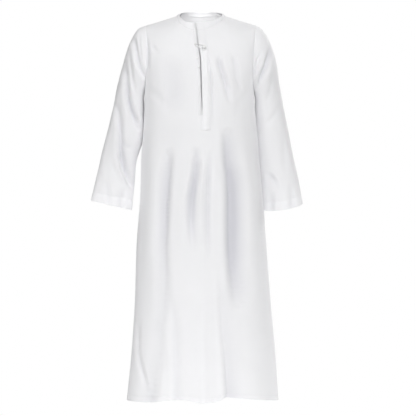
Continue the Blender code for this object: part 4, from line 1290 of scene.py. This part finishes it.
def knot(tree, row, material):
    """A ball knot of one cord that goes three times round over and under itself."""
    t = np.linspace(0, TURN, KNOT_POINTS, endpoint=False)
    cord = KNOT_CORD_SHARE * row.across
    around = KNOT_TURNS * t
    latitude = KNOT_LATITUDE * np.sin(KNOT_LOBES * t)
    weave = 1 + KNOT_WEAVE * np.sin(KNOT_LOBES * 2 * t + KNOT_WEAVE_START)
    radius = (0.5 * row.across - cord) * weave
    line = np.stack([radius * np.cos(latitude) * np.cos(around),
                     radius * np.cos(latitude) * np.sin(around),
                     radius * np.sin(latitude) * row.depth / row.across], -1)
    points, quads = tube(line, cord)
    u, v = np.meshgrid(np.linspace(0, TURN, CORE_SIDES + 1)[:-1],
                       np.linspace(-CORE_LATITUDE, CORE_LATITUDE, CORE_RINGS))
    ball = CORE_SHARE * np.stack([row.across * np.cos(v) * np.cos(u),
                                  row.across * np.cos(v) * np.sin(u), row.depth * np.sin(v)], -1)
    ids = np.arange(u.size).reshape(u.shape) + len(points)
    faces = [tuple(q) for q in quads]
    faces += [tuple(q) for q in grid_cells(ids, closed=True)]
    faces += [tuple(ids[0][::-1]), tuple(ids[-1])]
    points = np.concatenate([points, ball.reshape(-1, 3)])
    points[:, 2] -= points[:, 2].min()
    place, normal = seat(tree, row.x * MM, row.z * MM)
    turn = normal.to_track_quat("Z", "Y").to_matrix().to_4x4()
    item = new_mesh(row.name, points * MM, faces, material)
    item.data.transform(Matrix.Translation(place + normal * LAY_GAP) @ turn)
    dress(item, "cord", row.node)
    return item


def arc(centre, along, radius, first, last):
    """Points on an arc about the centre, its angles counted from the loop's own direction."""
    across = np.array([-along[1], along[0]])
    turns = np.linspace(first, last, LOOP_ARC_POINTS)
    return [centre + radius * (along * math.cos(t) + across * math.sin(t)) for t in turns]


def loop_line():
    """The loop's points from the front: a wide end round the top knot and a narrow one."""
    start = np.array(LOOP_START)
    end = np.array([KNOTS[0].x, KNOTS[0].z])
    length = np.linalg.norm(end - start)
    along = (end - start) / length
    turn = math.pi / 2 + math.asin((LOOP_HALF_WIDTH - LOOP_START_HALF_WIDTH) / length)
    wide = arc(end, along, LOOP_HALF_WIDTH, -turn, turn)
    narrow = arc(start, along, LOOP_START_HALF_WIDTH, turn, TURN - turn)
    shares = np.linspace(0, 1, LOOP_SIDE_POINTS + 2)[1:-1]
    out = [wide[-1] + (narrow[0] - wide[-1]) * share for share in shares]
    home = [narrow[-1] + (wide[0] - narrow[-1]) * share for share in shares]
    return wide + out + narrow + home


def neighbours(values, reach):
    """The values of a closed line, moved on by each count of points within reach."""
    return [np.roll(values, k) for k in range(-reach, reach + 1)]


def button_loop(tree, material):
    """A closed cord of twisted strands that lies on the strips and bridges the slit."""
    flat = np.array(loop_line()) * MM
    places = [seat(tree, x, z)[0] for x, z in flat]
    depths = np.array([place.y if place else 0.0 for place in places])
    foremost = np.min(neighbours(depths, LOOP_CLEAR_POINTS), axis=0)
    smooth = np.mean(neighbours(foremost, LOOP_SMOOTH_POINTS), axis=0)
    radius = LOOP_CORD / 2 * MM
    line = np.stack([flat[:, 0], smooth - radius - 2 * LAY_GAP, flat[:, 1]], -1)
    line = np.concatenate([line, line[:1]])
    lengths = path_lengths(line)
    total = lengths[-1]
    at = np.linspace(0, total, LOOP_POINTS, endpoint=False)
    line = read_along(at, lengths, line)
    along = directions(line)
    outward = unit(np.array([0.0, -1.0, 0.0]) + along * along[:, 1:2])
    side = np.cross(along, outward)
    turns = round(total / (LOOP_TWIST * MM))
    points, faces, start = [], [], 0
    for strand in range(LOOP_STRANDS):
        angle = TURN * (turns * at / total + strand / LOOP_STRANDS)
        swing = outward * np.cos(angle)[:, None] + side * np.sin(angle)[:, None]
        ring, quads = tube(line + radius * STRAND_OFFSET * swing, radius * (1 - STRAND_OFFSET))
        points.append(ring)
        faces += [tuple(q + start) for q in quads]
        start += len(ring)
    item = new_mesh("loop_cord", np.concatenate(points), faces, material)
    dress(item, "cord", "button_loop")
    return item


# Materials

def link(material, start, end):
    material.node_tree.links.new(start, end)


def math_node(material, operation, first, second=None):
    """A Math node; an input is a socket or a number."""
    node = material.node_tree.nodes.new("ShaderNodeMath")
    node.operation = operation
    for slot, value in zip(node.inputs, (first, second)):
        if isinstance(value, bpy.types.NodeSocket):
            link(material, value, slot)
        elif value is not None:
            slot.default_value = value
    return node.outputs[0]


def noise_node(material, vector, scale, detail=3.0, roughness=0.5):
    node = material.node_tree.nodes.new("ShaderNodeTexNoise")
    node.inputs["Scale"].default_value = scale
    node.inputs["Detail"].default_value = detail
    node.inputs["Roughness"].default_value = roughness
    link(material, vector, node.inputs["Vector"])
    return node.outputs["Fac"]


def bump_node(material, height, strength, distance, normal=None):
    node = material.node_tree.nodes.new("ShaderNodeBump")
    node.inputs["Strength"].default_value = strength
    node.inputs["Distance"].default_value = distance
    link(material, height, node.inputs["Height"])
    if normal is not None:
        link(material, normal, node.inputs["Normal"])
    return node.outputs["Normal"]


def new_material(name, **values):
    """A material, its shader's sockets set by name."""
    material = bpy.data.materials.new(name)
    material.use_nodes = True
    shader = material.node_tree.nodes["Principled BSDF"]
    for socket, value in values.items():
        shader.inputs[socket.replace("_", " ")].default_value = value
    return material, shader


def tone_between(material, dark, light, share):
    tone = material.node_tree.nodes.new("ShaderNodeMix")
    tone.data_type = "RGBA"
    tone.inputs["A"].default_value = dark
    tone.inputs["B"].default_value = light
    link(material, share, tone.inputs["Factor"])
    return tone


def roughness_between(material, shader, low, high, share):
    rough = material.node_tree.nodes.new("ShaderNodeMapRange")
    rough.inputs["To Min"].default_value = low
    rough.inputs["To Max"].default_value = high
    link(material, share, rough.inputs["Value"])
    link(material, rough.outputs["Result"], shader.inputs["Roughness"])


def cotton(name, light, dark, thread, roughness):
    """Plain-weave cotton: threads over and under, slubs, a soft nap, slight changes of tone, and
    painted shade that darkens the colour deep in the folds.
    """
    material, shader = new_material(
        name, Sheen_Weight=0.12, Sheen_Roughness=0.5, Specular_IOR_Level=0.22,
        Subsurface_Weight=0.40, Subsurface_Radius=(1.0, 1.0, 1.0), Subsurface_Scale=3 * MM,
    )
    nodes = material.node_tree.nodes
    uv = nodes.new("ShaderNodeUVMap")
    uv.uv_map = "cloth"
    place = nodes.new("ShaderNodeTexCoord").outputs["Object"]
    parts = nodes.new("ShaderNodeSeparateXYZ")
    link(material, uv.outputs["UV"], parts.inputs["Vector"])
    waves = []
    for axis in ("X", "Y"):
        turns = math_node(material, "MULTIPLY", parts.outputs[axis], TURN / thread)
        waves.append(math_node(material, "SINE", turns))
    weave = math_node(material, "MULTIPLY", *waves)
    slub = noise_node(material, place, 420.0, 2.0, 0.6)
    nap = noise_node(material, place, 90.0, 4.0, 0.6)
    cloud = noise_node(material, place, 9.0, 3.0, 0.5)
    mixed = math_node(material, "ADD", math_node(material, "MULTIPLY", cloud, 0.7),
                      math_node(material, "MULTIPLY", slub, 0.3))
    tone = tone_between(material, dark, light, mixed)
    # painted shade: the colour is multiplied towards a grey-blue tone where the fold is deep
    painted_shade = nodes.new("ShaderNodeAttribute")
    painted_shade.attribute_name = "painted_shade"
    shade = tone_between(material, light, PAINTED_SHADE_TONE, painted_shade.outputs["Fac"])
    shade.blend_type = "MULTIPLY"
    link(material, tone.outputs["Result"], shade.inputs["A"])
    link(material, shade.outputs["Result"], shader.inputs["Base Color"])
    roughness_between(material, shader, roughness - 0.06, roughness + 0.06, nap)
    fine = bump_node(material, weave, 0.35, 0.05 * MM)
    middle = bump_node(material, slub, 0.35, 0.12 * MM, fine)
    broad = bump_node(material, nap, 0.30, 0.35 * MM, middle)
    link(material, broad, shader.inputs["Normal"])
    return material


def cord_material(name, light, dark):
    """Twisted white cord: fine fibres and a little gloss."""
    material, shader = new_material(name, Sheen_Weight=0.2)
    place = material.node_tree.nodes.new("ShaderNodeTexCoord").outputs["Object"]
    fibre = noise_node(material, place, 2600.0, 2.0, 0.6)
    tone = tone_between(material, dark, light, fibre)
    link(material, tone.outputs["Result"], shader.inputs["Base Color"])
    roughness_between(material, shader, 0.42, 0.62, fibre)
    link(material, bump_node(material, fibre, 0.5, 0.08 * MM), shader.inputs["Normal"])
    return material


# Camera, floor and light

def set_camera():
    data = bpy.data.cameras.new("camera")
    data.sensor_width = SENSOR_WIDTH
    data.lens = SENSOR_WIDTH * -CAMERA_PLACE[1] / VIEW_WIDTH
    camera = bpy.data.objects.new("camera", data)
    camera.location = CAMERA_PLACE
    camera.rotation_euler = (math.pi / 2, 0, 0)
    bpy.context.scene.collection.objects.link(camera)
    bpy.context.scene.camera = camera


def set_floor():
    half = FLOOR_SIZE / 2
    ways = ((-1, -1), (1, -1), (1, 1), (-1, 1))
    corners = [(half * x, half * y, FLOOR_Z) for x, y in ways]
    material, _ = new_material(
        "floor", Base_Color=(0.97, 0.97, 0.97, 1.0), Roughness=0.9,
        Emission_Color=WHITE, Emission_Strength=FLOOR_GLOW,
    )
    floor = new_mesh("floor", corners, [(0, 1, 2, 3)], material)


def set_light():
    world = bpy.data.worlds.new("studio")
    bpy.context.scene.world = world
    world.use_nodes = True
    nodes = world.node_tree.nodes
    links = world.node_tree.links
    sky = nodes["Background"]
    sky.inputs["Color"].default_value = WHITE
    sky.inputs["Strength"].default_value = SKY_STRENGTH
    seen = nodes.new("ShaderNodeBackground")
    seen.inputs["Strength"].default_value = 1.0
    mix = nodes.new("ShaderNodeMixShader")
    path = nodes.new("ShaderNodeLightPath")
    links.new(path.outputs["Is Camera Ray"], mix.inputs["Fac"])
    links.new(sky.outputs["Background"], mix.inputs[1])
    links.new(seen.outputs["Background"], mix.inputs[2])
    seen.inputs["Color"].default_value = WHITE
    links.new(mix.outputs["Shader"], nodes["World Output"].inputs["Surface"])
    for row in LAMPS:
        data = bpy.data.lights.new(row.name, "AREA")
        data.size = row.size
        data.energy = row.power
        data.spread = math.radians(row.spread)
        lamp = bpy.data.objects.new(row.name, data)
        lamp.location = row.place
        lamp.rotation_mode = "QUATERNION"
        aim = Vector(row.target) - Vector(row.place)
        lamp.rotation_quaternion = aim.to_track_quat("-Z", "Y")
        lamp.visible_camera = False
        bpy.context.scene.collection.objects.link(lamp)
    bpy.context.scene.view_settings.view_transform = "Standard"


# The robe

def row_line(robe, name, row):
    """The places and normals along one row of a piece."""
    ids = robe.ids[name][row]
    return robe.points[ids], robe.normals[ids]


def all_stitches(robe, wide, narrow, thread):
    """The rows of stitches: hem, cuffs, neckband and strips."""
    hem_row = int(np.abs(lower_heights() - HEM_Z - HEM_BAND).argmin())
    cuff_row = int(np.abs((CUFF_STATION - sleeve_stations()) * STATION_LENGTH - CUFF_BAND).argmin())
    rows = {"hem_front": [row_line(robe, FRONT_PANEL, hem_row)],
            "hem_back": [row_line(robe, BACK_PANEL, hem_row)]}
    for name, label in ((RIGHT, "cuff_right"), (LEFT, "cuff_left")):
        rows[label] = [[np.concatenate([a, a[:1]]) for a in row_line(robe, name, cuff_row)]]
    rows["neckband"] = [row_line(robe, NECKBAND, row) for row in BAND_STITCH_ROWS]
    inset = STRIP_STITCH_INSET
    rows["strips"] = [(over[inset:, at], normals[inset:, at])
                      for over, normals in (wide, narrow)
                      for at in (inset, over.shape[1] - 1 - inset)]
    rows["strips"].append([a[inset, inset: -inset] for a in wide])
    on_band = ("neckband", "strips")
    return {name: stitches("stitches_" + name, lines, thread,
                           "band_cloth" if name in on_band else "robe_cloth")
            for name, lines in rows.items()}


def build_robe():
    cloth = cotton("robe_cotton", (0.90, 0.90, 0.915, 1.0), (0.85, 0.85, 0.868, 1.0),
                   0.55 * MM, 0.82)
    band_cloth = cotton("band_cotton", (0.89, 0.89, 0.905, 1.0), (0.83, 0.83, 0.848, 1.0),
                        0.7 * MM, 0.78)
    cord = cord_material("cord_white", (0.90, 0.90, 0.90, 1.0), (0.78, 0.78, 0.78, 1.0))
    thread = cord_material("thread_white", (0.86, 0.86, 0.87, 1.0), (0.72, 0.72, 0.74, 1.0))
    robe = Robe()
    front = front_panel(robe, cloth)
    back = back_panel(robe, cloth)
    right = sleeve(robe, RIGHT, cloth)
    left = sleeve(robe, LEFT, cloth)
    band = neckband(robe, band_cloth)
    wide, *wide_top = placket_strip(robe, "strip_wide", 1, band_cloth)
    narrow, *narrow_top = placket_strip(robe, "strip_narrow", -1, band_cloth)
    dress(front, "robe_cloth", "front_panel")
    dress(back, "robe_cloth", "back_panel")
    dress(right, "robe_cloth", "sleeve_right")
    dress(left, "robe_cloth", "sleeve_left")
    dress(band, "band_cloth", "neckband")
    dress(wide, "band_cloth", "placket_top")
    dress(narrow, "band_cloth", "placket_under")
    sewn = all_stitches(robe, wide_top, narrow_top, thread)
    tree = surface_tree([front, band, wide, narrow])
    knots = [knot(tree, row, cord) for row in KNOTS]
    loop = button_loop(tree, cord)


def main():
    for item in list(bpy.data.objects):
        bpy.data.objects.remove(item, do_unlink=True)
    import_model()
    set_camera()
    set_floor()
    set_light()
    build_robe()
    bpy.context.view_layer.update()


main()
